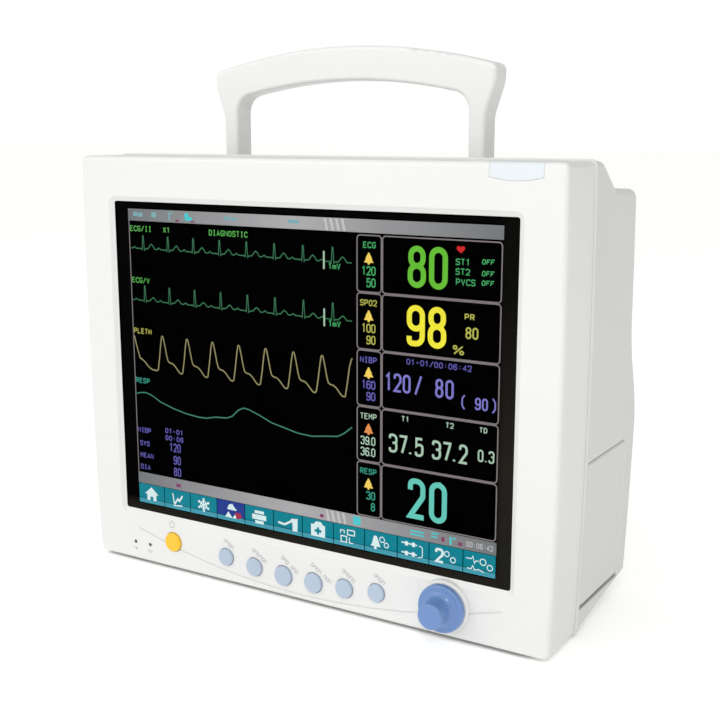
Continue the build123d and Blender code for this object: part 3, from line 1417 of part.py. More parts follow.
with BuildPart() as parameter_board:
    extrude(
        span(side_plane(PARAMETER_X), PARAMETER_LOW, PARAMETER_HIGH, 2), amount=BOARD_THICKNESS
    )
    extrude(
        panels(
            side_plane(PARAMETER_X + BOARD_THICKNESS),
            PARAMETER_CHIP_SPOTS,
            PARAMETER_CHIP_SIZE,
            PARAMETER_CHIP_SIZE,
            1,
        ),
        amount=PARAMETER_CHIP_HEIGHT,
    )
save(parameter_board, "parameter_board")

with BuildPart() as power_supply:
    supply_floor = front_plane(SUPPLY_Y - SUPPLY_WALL)
    extrude(span(front_plane(SUPPLY_Y), SUPPLY_LOW, SUPPLY_HIGH, 2), amount=SUPPLY_DEPTH)
    extrude(
        span(
            supply_floor,
            (SUPPLY_LOW[0] + SUPPLY_WALL, SUPPLY_LOW[1] + SUPPLY_WALL),
            (SUPPLY_HIGH[0] - SUPPLY_WALL, SUPPLY_HIGH[1] - SUPPLY_WALL),
        ),
        amount=SUPPLY_TRAY_DEPTH,
        mode=Mode.SUBTRACT,
    )
    extrude(
        panels(supply_floor, SUPPLY_PART_SPOTS, SUPPLY_PART_WIDTH, SUPPLY_PART_HEIGHT, 1),
        amount=SUPPLY_TRAY_DEPTH,
    )
save(power_supply, "power_supply")

with BuildPart() as nibp_pump:
    head_x = PUMP_X + PUMP_MOTOR_LENGTH
    spout_x = head_x + PUMP_HEAD_LENGTH
    extrude(
        circles(side_plane(PUMP_X), [(PUMP_Y, PUMP_Z)], PUMP_MOTOR_R), amount=PUMP_MOTOR_LENGTH
    )
    extrude(
        span(
            side_plane(head_x),
            (PUMP_Y - PUMP_HEAD_HALF, PUMP_Z - PUMP_HEAD_HALF),
            (PUMP_Y + PUMP_HEAD_HALF, PUMP_Z + PUMP_HEAD_HALF),
            2,
        ),
        amount=PUMP_HEAD_LENGTH,
    )
    extrude(circles(side_plane(spout_x), [(PUMP_Y, PUMP_Z + 6)], SPOUT_R), amount=SPOUT_LENGTH)
save(nibp_pump, "nibp_pump")

with BuildPart() as nibp_valve:
    extrude(span(side_plane(VALVE_X), VALVE_LOW, VALVE_HIGH, 1.5), amount=VALVE_LENGTH)
    extrude(
        circles(side_plane(VALVE_X - SPOUT_LENGTH), [VALVE_SPOUT], SPOUT_R), amount=SPOUT_LENGTH
    )
save(nibp_valve, "nibp_valve")

with BuildPart() as speaker:
    speaker_spot = [(SPEAKER_X, SPEAKER_Z)]
    extrude(circles(front_plane(SPEAKER_Y), speaker_spot, SPEAKER_R), amount=SPEAKER_RIM)
    extrude(
        circles(front_plane(SPEAKER_Y - SPEAKER_RIM), speaker_spot, SPEAKER_MAGNET_R),
        amount=SPEAKER_MAGNET,
    )
save(speaker, "speaker")

# Fan behind the left vent field
fan_spot = [(-VENT_X, VENT_Z)]

with BuildPart() as fan_frame:
    extrude(panels(front_plane(FAN_Y), fan_spot, FAN_SIZE, FAN_SIZE, 3), amount=FAN_DEPTH)
    extrude(
        circles(front_plane(FAN_Y), fan_spot, FAN_RADIUS), amount=FAN_DEPTH, mode=Mode.SUBTRACT
    )
    with BuildSketch(front_plane(FAN_Y - FAN_DEPTH + FAN_SPOKE_DEPTH)):
        with Locations(*fan_spot):
            Circle(FAN_HUB_R)
            with PolarLocations(FAN_RADIUS / 2 + 1, 4):
                Rectangle(FAN_RADIUS, FAN_SPOKE)
    extrude(amount=FAN_SPOKE_DEPTH)
    extrude(circles(front_plane(FAN_Y - 2), fan_spot, FAN_AXLE_R), amount=FAN_DEPTH - 3)
save(fan_frame, "fan_frame")

with BuildPart() as fan_rotor:
    blade_length = FAN_RADIUS - FAN_TIP_GAP - FAN_HUB_R + FAN_BLADE_ROOT
    hub_centre = Plane(
        origin=(-VENT_X, FAN_ROTOR_Y - FAN_ROTOR_DEPTH / 2, VENT_Z),
        x_dir=(1, 0, 0),
        z_dir=(0, -1, 0),
    )
    extrude(circles(front_plane(FAN_ROTOR_Y), fan_spot, FAN_HUB_R), amount=FAN_ROTOR_DEPTH)
    with Locations(hub_centre):
        with PolarLocations(FAN_HUB_R - FAN_BLADE_ROOT + blade_length / 2, FAN_BLADES):
            Box(
                blade_length,
                FAN_BLADE_CHORD,
                FAN_BLADE_THICKNESS,
                rotation=(FAN_BLADE_PITCH, 0, 0),
            )
    extrude(
        circles(front_plane(FAN_ROTOR_Y - 1.0), fan_spot, FAN_AXLE_R + RUNNING_GAP),
        amount=FAN_ROTOR_DEPTH,
        mode=Mode.SUBTRACT,
    )
save(fan_rotor, "fan_rotor")

# Feet, screws and mounting inserts
with BuildPart() as front_feet:
    with BuildSketch(Plane.XY) as front_pads:
        with Locations((-FOOT_X, FRONT_FOOT_Y), (FOOT_X, FRONT_FOOT_Y)):
            SlotOverall(FRONT_FOOT_LENGTH, FRONT_FOOT_WIDTH)
    extrude(amount=CASE_BASE)
    fillet(front_feet.faces().sort_by(Axis.Z)[0].edges(), 0.6)
save(front_feet, "front_feet")

with BuildPart() as rear_feet:
    with Locations((-FOOT_X, REAR_FOOT_Y, 0), (FOOT_X, REAR_FOOT_Y, 0)):
        Cone(
            REAR_FOOT_R,
            REAR_FOOT_TOP_R,
            REAR_FOOT_HEIGHT,
            align=(Align.CENTER, Align.CENTER, Align.MIN),
        )
    fillet(rear_feet.faces().sort_by(Axis.Z)[:2].edges(), 1.2)
    add(housing_form(), mode=Mode.SUBTRACT)
save(rear_feet, "rear_feet")

with BuildPart() as housing_screws:
    extrude(circles(front_plane(SCREW_SEAT_Y), PILLARS, SCREW_R), amount=SCREW_LENGTH)
    extrude(
        circles(front_plane(SCREW_SEAT_Y + SCREW_HEAD), PILLARS, SCREW_R * 1.9), amount=SCREW_HEAD
    )
save(housing_screws, "housing_screws")

with BuildPart() as handle_screws:
    extrude(
        circles(Plane.XY.offset(LEG_SCREW_SEAT_Z), leg_spots, LEG_SCREW_R),
        amount=LEG_SCREW_LENGTH,
    )
    extrude(
        circles(Plane.XY.offset(LEG_SCREW_SEAT_Z), leg_spots, LEG_SCREW_R * 1.8),
        amount=-LEG_SCREW_HEAD,
    )
save(handle_screws, "handle_screws")

with BuildPart() as base_inserts:
    extrude(circles(Plane.XY.offset(BASE_MOUNT_Z), base_spots, INSERT_R), amount=INSERT_LENGTH)
    extrude(
        circles(Plane.XY.offset(BASE_MOUNT_Z), base_spots, INSERT_BORE_R),
        amount=INSERT_LENGTH,
        mode=Mode.SUBTRACT,
    )
save(base_inserts, "base_inserts")
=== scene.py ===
import json
import math

import bmesh
import bpy
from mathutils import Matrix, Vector


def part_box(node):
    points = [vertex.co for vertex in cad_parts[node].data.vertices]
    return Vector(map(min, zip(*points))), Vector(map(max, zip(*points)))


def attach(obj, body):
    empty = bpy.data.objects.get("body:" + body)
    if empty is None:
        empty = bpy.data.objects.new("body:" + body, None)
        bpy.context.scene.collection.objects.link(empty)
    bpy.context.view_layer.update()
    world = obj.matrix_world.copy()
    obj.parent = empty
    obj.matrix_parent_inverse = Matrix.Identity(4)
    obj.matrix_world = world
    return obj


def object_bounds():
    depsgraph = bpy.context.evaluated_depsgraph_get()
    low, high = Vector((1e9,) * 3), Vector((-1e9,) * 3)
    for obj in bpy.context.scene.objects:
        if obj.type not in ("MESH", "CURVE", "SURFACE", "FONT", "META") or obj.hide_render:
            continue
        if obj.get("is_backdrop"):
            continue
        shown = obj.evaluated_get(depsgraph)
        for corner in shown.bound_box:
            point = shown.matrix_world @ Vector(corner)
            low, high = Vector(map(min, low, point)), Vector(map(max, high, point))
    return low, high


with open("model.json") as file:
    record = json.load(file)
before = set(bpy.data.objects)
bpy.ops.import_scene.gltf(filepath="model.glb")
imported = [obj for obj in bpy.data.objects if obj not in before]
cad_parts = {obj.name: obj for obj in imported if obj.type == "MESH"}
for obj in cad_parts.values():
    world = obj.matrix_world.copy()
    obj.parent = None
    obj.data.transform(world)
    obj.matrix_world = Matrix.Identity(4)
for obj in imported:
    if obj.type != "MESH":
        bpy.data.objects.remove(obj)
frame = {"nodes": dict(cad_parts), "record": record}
CAD_LOW, CAD_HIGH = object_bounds()
MM = 0.001

# ---------------------------------------------------------------- camera and light

# The view, solved from the corners of the display and the edges of the case, in metres
CAMERA_PLACE = (0.35663, -0.56106, 0.26713)
CAMERA_AIM = (-0.5119, 0.8356, -0.1992)
LENS_MM, SENSOR_MM = 57.21, 36.0
SHIFT_ACROSS, SHIFT_UP = -0.0022, 0.0069
NEAREST, FARTHEST = 0.01, 50.0

scene = bpy.context.scene
scene.view_settings.view_transform = "Standard"

camera_data = bpy.data.cameras.new("camera")
camera_data.sensor_width = SENSOR_MM
camera_data.lens = LENS_MM
camera_data.shift_x = SHIFT_ACROSS
camera_data.shift_y = SHIFT_UP
camera_data.clip_start = NEAREST
camera_data.clip_end = FARTHEST
camera = bpy.data.objects.new("camera", camera_data)
camera.location = CAMERA_PLACE
camera.rotation_mode = "QUATERNION"
camera.rotation_quaternion = Vector(CAMERA_AIM).to_track_quat("-Z", "Y")
scene.collection.objects.link(camera)
scene.camera = camera


def softbox(name, place, size, power):
    """A square studio light that faces the middle of the object."""
    data = bpy.data.lights.new(name, "AREA")
    data.shape = "SQUARE"
    data.size = size
    data.energy = power
    lamp = bpy.data.objects.new(name, data)
    lamp.location = place
    target = (CAD_LOW + CAD_HIGH) / 2
    lamp.rotation_mode = "QUATERNION"
    lamp.rotation_quaternion = (target - Vector(place)).to_track_quat("-Z", "Y")
    scene.collection.objects.link(lamp)


softbox("window_light", (0.55, -0.85, 0.95), size=0.30, power=3.3)
softbox("left_light", (-0.9, -1.1, 0.9), size=0.8, power=3.4)

# The room: a soft tent of light, brighter above, in front and to the left. The camera sees it as white.
TENT_LEAN = (-0.19, -0.30, 0.18)
TENT_LEVEL = 0.68
TENT_TINT = (1.0, 1.0, 0.99, 1)
WHITE = (1, 1, 1, 1)
world = bpy.data.worlds.new("studio")
world.use_nodes = True
scene.world = world
wn = world.node_tree.nodes
wl = world.node_tree.links
wn.clear()
direction = wn.new("ShaderNodeTexCoord")
lean = wn.new("ShaderNodeVectorMath")
lean.operation = "DOT_PRODUCT"
lean.inputs[1].default_value = TENT_LEAN
level = wn.new("ShaderNodeMath")
level.operation = "ADD"
level.inputs[1].default_value = TENT_LEVEL
tent = wn.new("ShaderNodeBackground")
tent.inputs["Color"].default_value = TENT_TINT
backdrop = wn.new("ShaderNodeBackground")
backdrop.inputs["Color"].default_value = WHITE
path = wn.new("ShaderNodeLightPath")
choose = wn.new("ShaderNodeMixShader")
out = wn.new("ShaderNodeOutputWorld")
wl.new(direction.outputs["Generated"], lean.inputs[0])
wl.new(lean.outputs["Value"], level.inputs[0])
wl.new(level.outputs[0], tent.inputs["Strength"])
wl.new(path.outputs["Is Camera Ray"], choose.inputs[0])
wl.new(tent.outputs[0], choose.inputs[1])
wl.new(backdrop.outputs[0], choose.inputs[2])
wl.new(choose.outputs[0], out.inputs[0])

# ---------------------------------------------------------------- materials


def linear(value):
    """One display-referred channel, 0 to 255, as a linear value."""
    v = value / 255
    return v / 12.92 if v <= 0.04045 else ((v + 0.055) / 1.055) ** 2.4


def rgb(r, g, b):
    """A colour from three display-referred channels."""
    return (linear(r), linear(g), linear(b), 1.0)


def scaled(colour, factor):
    """A colour made lighter or darker."""
    return (colour[0] * factor, colour[1] * factor, colour[2] * factor, 1.0)


def new_material(name):
    """A material with one Principled shader, and its object coordinates."""
    mat = bpy.data.materials.new(name)
    mat.use_nodes = True
    tree = mat.node_tree
    shader = tree.nodes["Principled BSDF"]
    coords = tree.nodes.new("ShaderNodeTexCoord")
    return mat, tree, shader, coords.outputs["Object"]


def noise(tree, vector, size, detail=2.0):
    """Noise whose features are about size metres wide."""
    node = tree.nodes.new("ShaderNodeTexNoise")
    node.inputs["Scale"].default_value = 1.0 / size
    node.inputs["Detail"].default_value = detail
    tree.links.new(vector, node.inputs["Vector"])
    return node.outputs["Fac"]


def ramp(tree, factor, low, high, out_low, out_high):
    """Maps a factor between low and high onto another range."""
    node = tree.nodes.new("ShaderNodeMapRange")
    node.inputs["From Min"].default_value = low
    node.inputs["From Max"].default_value = high
    node.inputs["To Min"].default_value = out_low
    node.inputs["To Max"].default_value = out_high
    tree.links.new(factor, node.inputs["Value"])
    return node.outputs["Result"]


def blend(tree, factor, a, b):
    """A colour between two colours or sockets."""
    node = tree.nodes.new("ShaderNodeMix")
    node.data_type = "RGBA"
    tree.links.new(factor, node.inputs["Factor"])
    for socket, value in ((node.inputs[6], a), (node.inputs[7], b)):
        if hasattr(value, "node"):
            tree.links.new(value, socket)
        else:
            socket.default_value = value
    return node.outputs[2]


def maths(tree, operation, first, second):
    """One math operation on two sockets."""
    node = tree.nodes.new("ShaderNodeMath")
    node.operation = operation
    tree.links.new(first, node.inputs[0])
    tree.links.new(second, node.inputs[1])
    return node.outputs[0]


def axes(tree, vector):
    """The X, Y and Z sockets of a vector."""
    node = tree.nodes.new("ShaderNodeSeparateXYZ")
    tree.links.new(vector, node.inputs[0])
    return node.outputs


def bump(tree, shader, height, distance):
    """Relief of the given height in metres on a shader."""
    node = tree.nodes.new("ShaderNodeBump")
    node.inputs["Strength"].default_value = 1.0
    node.inputs["Distance"].default_value = distance
    tree.links.new(height, node.inputs["Height"])
    tree.links.new(node.outputs["Normal"], shader.inputs["Normal"])


# Noise lies mostly between these values, so they are stretched to the whole range.
NOISE_LOW, NOISE_HIGH = 0.3, 0.7


def moulded(name, colour, roughness, grain, depth, spread, coat=0.0):
    """Moulded plastic: grain of one size and depth, a cloudy tone with some spread, and uneven gloss."""
    mat, tree, shader, where = new_material(name)
    cloud = noise(tree, where, 0.045, 3.0)
    tone = ramp(tree, cloud, NOISE_LOW, NOISE_HIGH, 0.0, 1.0)
    colour_out = blend(tree, tone, scaled(colour, 1 - spread), scaled(colour, 1 + spread / 2))
    tree.links.new(colour_out, shader.inputs["Base Color"])
    fine = noise(tree, where, grain, 2.0)
    gloss = ramp(tree, fine, NOISE_LOW, NOISE_HIGH, roughness - 0.05, roughness + 0.06)
    tree.links.new(gloss, shader.inputs["Roughness"])
    bump(tree, shader, fine, depth)
    shader.inputs["Coat Weight"].default_value = coat
    shader.inputs["Coat Roughness"].default_value = 0.12
    return mat


SCRATCH_DEPTH = 0.000004


def metal(name, colour, roughness, stretch, size):
    """Metal with fine scratches, which a stretch draws out along one axis."""
    mat, tree, shader, where = new_material(name)
    mapping = tree.nodes.new("ShaderNodeMapping")
    mapping.inputs["Scale"].default_value = stretch
    tree.links.new(where, mapping.inputs["Vector"])
    fine = noise(tree, mapping.outputs[0], size, 3.0)
    cloud = noise(tree, where, 0.012, 2.0)
    tone = ramp(tree, cloud, NOISE_LOW, NOISE_HIGH, 0.0, 1.0)
    colour_out = blend(tree, tone, scaled(colour, 0.88), scaled(colour, 1.05))
    tree.links.new(colour_out, shader.inputs["Base Color"])
    gloss = ramp(tree, fine, NOISE_LOW, NOISE_HIGH, roughness - 0.08, roughness + 0.12)
    tree.links.new(gloss, shader.inputs["Roughness"])
    shader.inputs["Metallic"].default_value = 1.0
    bump(tree, shader, fine, SCRATCH_DEPTH)
    return mat


def circuit(name):
    """Green solder mask with tracks and pads."""
    mat, tree, shader, where = new_material(name)
    brick = tree.nodes.new("ShaderNodeTexBrick")
    brick.inputs["Scale"].default_value = 160.0
    brick.inputs["Mortar Size"].default_value = 0.03
    brick.inputs["Color1"].default_value = (0.02, 0.16, 0.07, 1)
    brick.inputs["Color2"].default_value = (0.015, 0.12, 0.05, 1)
    brick.inputs["Mortar"].default_value = (0.05, 0.30, 0.12, 1)
    tree.links.new(where, brick.inputs["Vector"])
    tree.links.new(brick.outputs["Color"], shader.inputs["Base Color"])
    fine = noise(tree, where, 0.001)
    tree.links.new(ramp(tree, fine, NOISE_LOW, NOISE_HIGH, 0.28, 0.42), shader.inputs["Roughness"])
    bump(tree, shader, brick.outputs["Fac"], 0.00003)
    return mat


def pane(name):
    """Cover glass with almost no reflection, which lets lamp light through to what is behind it."""
    mat, tree, shader, where = new_material(name)
    shader.inputs["Base Color"].default_value = WHITE
    shader.inputs["Transmission Weight"].default_value = 1.0
    shader.inputs["IOR"].default_value = 1.001
    smear = noise(tree, where, 0.03, 4.0)
    tree.links.new(ramp(tree, smear, 0.45, 0.75, 0.0, 0.008), shader.inputs["Roughness"])
    clear = tree.nodes.new("ShaderNodeBsdfTransparent")
    light = tree.nodes.new("ShaderNodeLightPath")
    either = tree.nodes.new("ShaderNodeMixShader")
    tree.links.new(light.outputs["Is Shadow Ray"], either.inputs[0])
    tree.links.new(shader.outputs[0], either.inputs[1])
    tree.links.new(clear.outputs[0], either.inputs[2])
    tree.links.new(either.outputs[0], tree.nodes["Material Output"].inputs["Surface"])
    return mat


# The display's own units, its width in metres, and where its bars begin and end to fade
ACROSS, DOWN = 800, 600
PICTURE_WIDTH = 0.2458
PIXEL = PICTURE_WIDTH / ACROSS
FADE_LEFT, FADE_RIGHT, FADE_END = -0.005, 0.0, 0.125


def lit(name, colour, dim=0.78, ends=None):
    """Light from the display: its picture cells, each with a darker gap round it.

    It may fade to another colour towards the left and right ends of the display.
    """
    mat, tree, shader, where = new_material(name)
    cells = tree.nodes.new("ShaderNodeTexBrick")
    cells.offset = 0.0
    cells.inputs["Scale"].default_value = 1.0
    cells.inputs["Brick Width"].default_value = PIXEL
    cells.inputs["Row Height"].default_value = PIXEL
    cells.inputs["Mortar Size"].default_value = PIXEL * 0.12
    cells.inputs["Mortar Smooth"].default_value = 0.3
    cells.inputs["Color1"].default_value = colour
    cells.inputs["Color2"].default_value = scaled(colour, 0.93)
    cells.inputs["Mortar"].default_value = scaled(colour, dim)
    along = axes(tree, where)
    join = tree.nodes.new("ShaderNodeCombineXYZ")
    tree.links.new(along["X"], join.inputs["X"])
    tree.links.new(along["Z"], join.inputs["Y"])
    tree.links.new(join.outputs[0], cells.inputs["Vector"])
    cloud = noise(tree, where, 0.02, 2.0)
    tone = ramp(tree, cloud, NOISE_LOW, NOISE_HIGH, 0.0, 1.0)
    shade = blend(tree, tone, scaled(colour, 0.9), scaled(colour, 1.06))
    tree.links.new(shade, cells.inputs["Color1"])
    glow = cells.outputs["Color"]
    if ends:
        left = ramp(tree, along["X"], FADE_LEFT, -FADE_END, 0.0, 1.0)
        right = ramp(tree, along["X"], FADE_RIGHT, FADE_END, 0.0, 1.0)
        glow = blend(tree, right, blend(tree, left, glow, ends), ends)
    shader.inputs["Base Color"].default_value = (0, 0, 0, 1)
    shader.inputs["Roughness"].default_value = 0.5
    shader.inputs["Specular IOR Level"].default_value = 0.1
    tree.links.new(glow, shader.inputs["Emission Color"])
    shader.inputs["Emission Strength"].default_value = 1.0
    return mat


INK_BLACK = (0.002, 0.002, 0.002, 1)
# The two tones of a painted sheen, light painted into the border's colour at its right and lower edges
PAINTED_SHEEN_DARK, PAINTED_SHEEN_LIGHT = (0.062, 0.056, 0.044, 1), (0.078, 0.070, 0.056, 1)


def border_with_painted_sheen(name):
    """The printed black border under the glass, with painted light: a browner sheen painted into its
    colour towards its right and lower edges.
    """
    mat, tree, shader, where = new_material(name)
    along = axes(tree, where)
    # Where the painted sheen lies: a band at the right, stronger lower down, and a band along the bottom
    right = ramp(tree, along["X"], 0.118, 0.126, 0.0, 1.0)
    lower = ramp(tree, along["Z"], 0.19, 0.10, 0.15, 1.0)
    bottom = ramp(tree, along["Z"], 0.043, 0.037, 0.0, 1.0)
    share = maths(tree, "MAXIMUM", maths(tree, "MULTIPLY", right, lower), bottom)
    fine = noise(tree, where, 0.0015)
    painted_sheen = blend(tree, fine, PAINTED_SHEEN_DARK, PAINTED_SHEEN_LIGHT)
    tree.links.new(blend(tree, share, INK_BLACK, painted_sheen), shader.inputs["Base Color"])
    tree.links.new(ramp(tree, fine, NOISE_LOW, NOISE_HIGH, 0.5, 0.6), shader.inputs["Roughness"])
    shader.inputs["Specular IOR Level"].default_value = 0.1
    return mat


def dark_cells(name):
    """The unlit cells of the display."""
    mat, tree, shader, where = new_material(name)
    fine = noise(tree, where, PIXEL)
    tone = blend(tree, fine, (0.0003, 0.0003, 0.0004, 1), (0.0009, 0.0009, 0.001, 1))
    tree.links.new(tone, shader.inputs["Base Color"])
    tree.links.new(ramp(tree, fine, NOISE_LOW, NOISE_HIGH, 0.4, 0.5), shader.inputs["Roughness"])
    shader.inputs["Specular IOR Level"].default_value = 0.0
    return mat


SLOT_MATERIALS = {
    "bezel_white": moulded("bezel_white", (0.72, 0.72, 0.708, 1), 0.34, 0.0005, 0.000008, 0.012),
    "housing_grey": moulded("housing_grey", (0.655, 0.66, 0.638, 1), 0.52, 0.0009, 0.00006, 0.02),
    "alarm_lens": moulded("alarm_lens", (0.66, 0.70, 0.735, 1), 0.34, 0.0005, 0.000008, 0.008),
    "key_blue_grey": moulded("key_blue_grey", rgb(170, 184, 202), 0.42, 0.0005, 0.00002, 0.04),
    "power_yellow": moulded("power_yellow", rgb(240, 189, 36), 0.40, 0.0005, 0.00002, 0.05),
    "knob_blue": moulded("knob_blue", rgb(101, 134, 187), 0.28, 0.0005, 0.000005, 0.05, 0.25),
    "display_glass": pane("display_glass"),
    # The display border, black print with a painted sheen at its right and lower edges
    "black_mask": border_with_painted_sheen("black_mask"),
    "lcd_panel": dark_cells("lcd_panel"),
    "steel": metal("steel", (0.62, 0.63, 0.64, 1), 0.34, (1, 1, 12), 0.0012),
    "aluminium_case": metal("aluminium_case", (0.75, 0.76, 0.77, 1), 0.38, (1, 1, 1), 0.0008),
    "brass": metal("brass", (0.80, 0.60, 0.28, 1), 0.30, (1, 1, 6), 0.0006),
    "nickel_contacts": metal("nickel_contacts", (0.72, 0.71, 0.68, 1), 0.24, (1, 1, 1), 0.0006),
    "circuit_board": circuit("circuit_board"),
    "dark_plastic": moulded("dark_plastic", (0.035, 0.035, 0.038, 1), 0.45, 0.0006, 0.00004, 0.2),
    "sensor_plate": moulded("sensor_plate", rgb(172, 180, 192), 0.42, 0.0006, 0.00003, 0.04),
    "ecg_green": moulded("ecg_green", rgb(58, 132, 92), 0.36, 0.0005, 0.00002, 0.06),
    "spo2_blue": moulded("spo2_blue", rgb(52, 96, 168), 0.36, 0.0005, 0.00002, 0.06),
    "temp_grey": moulded("temp_grey", rgb(120, 124, 130), 0.40, 0.0005, 0.00002, 0.06),
    "light_pipe": moulded("light_pipe", (0.08, 0.085, 0.08, 1), 0.20, 0.0004, 0.000004, 0.1),
    "foot_rubber": moulded("foot_rubber", (0.045, 0.045, 0.047, 1), 0.78, 0.0008, 0.00008, 0.2),
}
for part in frame["record"]["subparts"]:
    node = frame["nodes"][part["node"]]
    node.data.materials.clear()
    node.data.materials.append(SLOT_MATERIALS[part["material_slot"]])

# ---------------------------------------------------------------- floor

# The floor glows a little, but not under the front of the monitor, so that the contact shadow shows there.
FLOOR_GLOW = 0.31
FLOOR_REACH = 20
FLOOR_DARK, FLOOR_PALE = (0.85, 0.85, 0.845, 1), (0.87, 0.87, 0.865, 1)
GLOW_TINT = (1.0, 0.995, 0.985, 1)
# Middle and half length of the stretch without glow, along each axis, and how softly it begins and ends
UNDER_FRONT = {"X": (0.0, 0.154), "Y": (-0.018, 0.032)}
FADE_IN, FADE_OUT = 0.004, 0.016


def inside(tree, along, axis):
    """1 inside the middle stretch of an axis, fading to 0 at both of its ends."""
    middle, half = UNDER_FRONT[axis]
    low, high = middle - half, middle + half
    low_end = ramp(tree, along[axis], low, low + FADE_IN, 0.0, 1.0)
    high_end = ramp(tree, along[axis], high, high - FADE_OUT, 0.0, 1.0)
    return maths(tree, "MINIMUM", low_end, high_end)


def pale_floor():
    """The material of the floor."""
    mat, tree, shader, where = new_material("pale_floor")
    tone = blend(tree, noise(tree, where, 0.2), FLOOR_DARK, FLOOR_PALE)
    tree.links.new(tone, shader.inputs["Base Color"])
    shader.inputs["Roughness"].default_value = 0.9
    shader.inputs["Specular IOR Level"].default_value = 0.1
    shader.inputs["Emission Color"].default_value = GLOW_TINT
    along = axes(tree, where)
    under = maths(tree, "MULTIPLY", inside(tree, along, "X"), inside(tree, along, "Y"))
    tree.links.new(ramp(tree, under, 0, 1, FLOOR_GLOW, 0.0), shader.inputs["Emission Strength"])
    return mat


floor_mesh = bpy.data.meshes.new("floor")
corners = [(x * FLOOR_REACH, y * FLOOR_REACH, 0) for x, y in ((-1, -1), (1, -1), (1, 1), (-1, 1))]
floor_mesh.from_pydata(corners, [], [(0, 1, 2, 3)])
floor = bpy.data.objects.new("floor", floor_mesh)
floor.data.materials.append(pale_floor())
scene.collection.objects.link(floor)
floor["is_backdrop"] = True

# ---------------------------------------------------------------- flat figures: strokes and plates

SAME_POINT = 1e-6


def rounded(points, closed=False, steps=6):
    """Points with their corners rounded: a point may carry its own radius as a third number."""
    count = len(points)
    result = []
    for i, point in enumerate(points):
        here = Vector(point[:2])
        radius = point[2] if len(point) > 2 else 0.0
        if radius <= 0 or (not closed and i in (0, count - 1)):
            result.append(here)
            continue
        back = Vector(points[i - 1][:2]) - here
        ahead = Vector(points[(i + 1) % count][:2]) - here
        angle = back.angle(ahead)
        reach = min(radius / math.tan(angle / 2), back.length * 0.5, ahead.length * 0.5)
        turn = reach * math.tan(angle / 2)
        inward = (back.normalized() + ahead.normalized()).normalized()
        centre = here + inward * (turn / math.sin(angle / 2))
        start = here + back.normalized() * reach - centre
        end = here + ahead.normalized() * reach - centre
        sweep = start.angle_signed(end)
        for k in range(steps + 1):
            a = -sweep * k / steps
            x = start.x * math.cos(a) - start.y * math.sin(a)
            y = start.x * math.sin(a) + start.y * math.cos(a)
            result.append(centre + Vector((x, y)))
    clean = [result[0]]
    for p in result[1:]:
        if (p - clean[-1]).length > SAME_POINT:
            clean.append(p)
    if closed and (clean[0] - clean[-1]).length <= SAME_POINT:
        clean.pop()
    return clean


def ribbon(points, width, closed=False):
    """Quads along a line: a list of 4-point polygons with mitred joints."""
    count = len(points)
    edges = []
    for i, here in enumerate(points):
        before = points[i - 1] if closed or i else None
        after = points[(i + 1) % count] if closed or i < count - 1 else None
        into = (here - before).normalized() if before is not None else (after - here).normalized()
        away = (after - here).normalized() if after is not None else into
        side = Vector((-into.y - away.y, into.x + away.x))
        side = Vector((-into.y, into.x)) if side.length < 1e-4 else side.normalized()
        stretch = 1.0 / max(0.5, side.dot(Vector((-into.y, into.x))))
        edges.append((here + side * width / 2 * stretch, here - side * width / 2 * stretch))
    last = count if closed else count - 1
    return [
        (edges[i][0], edges[i][1], edges[(i + 1) % count][1], edges[(i + 1) % count][0])
        for i in range(last)
    ]


def disc(x, y, radius, steps=20):
    """The outline of a disc."""
    angles = [2 * math.pi * k / steps for k in range(steps)]
    return [(x + radius * math.cos(a), y + radius * math.sin(a)) for a in angles]


def box_shape(x0, y0, x1, y1):
    """The outline of an upright box between two corners."""
    return [(x0, y0), (x1, y0), (x1, y1), (x0, y1)]


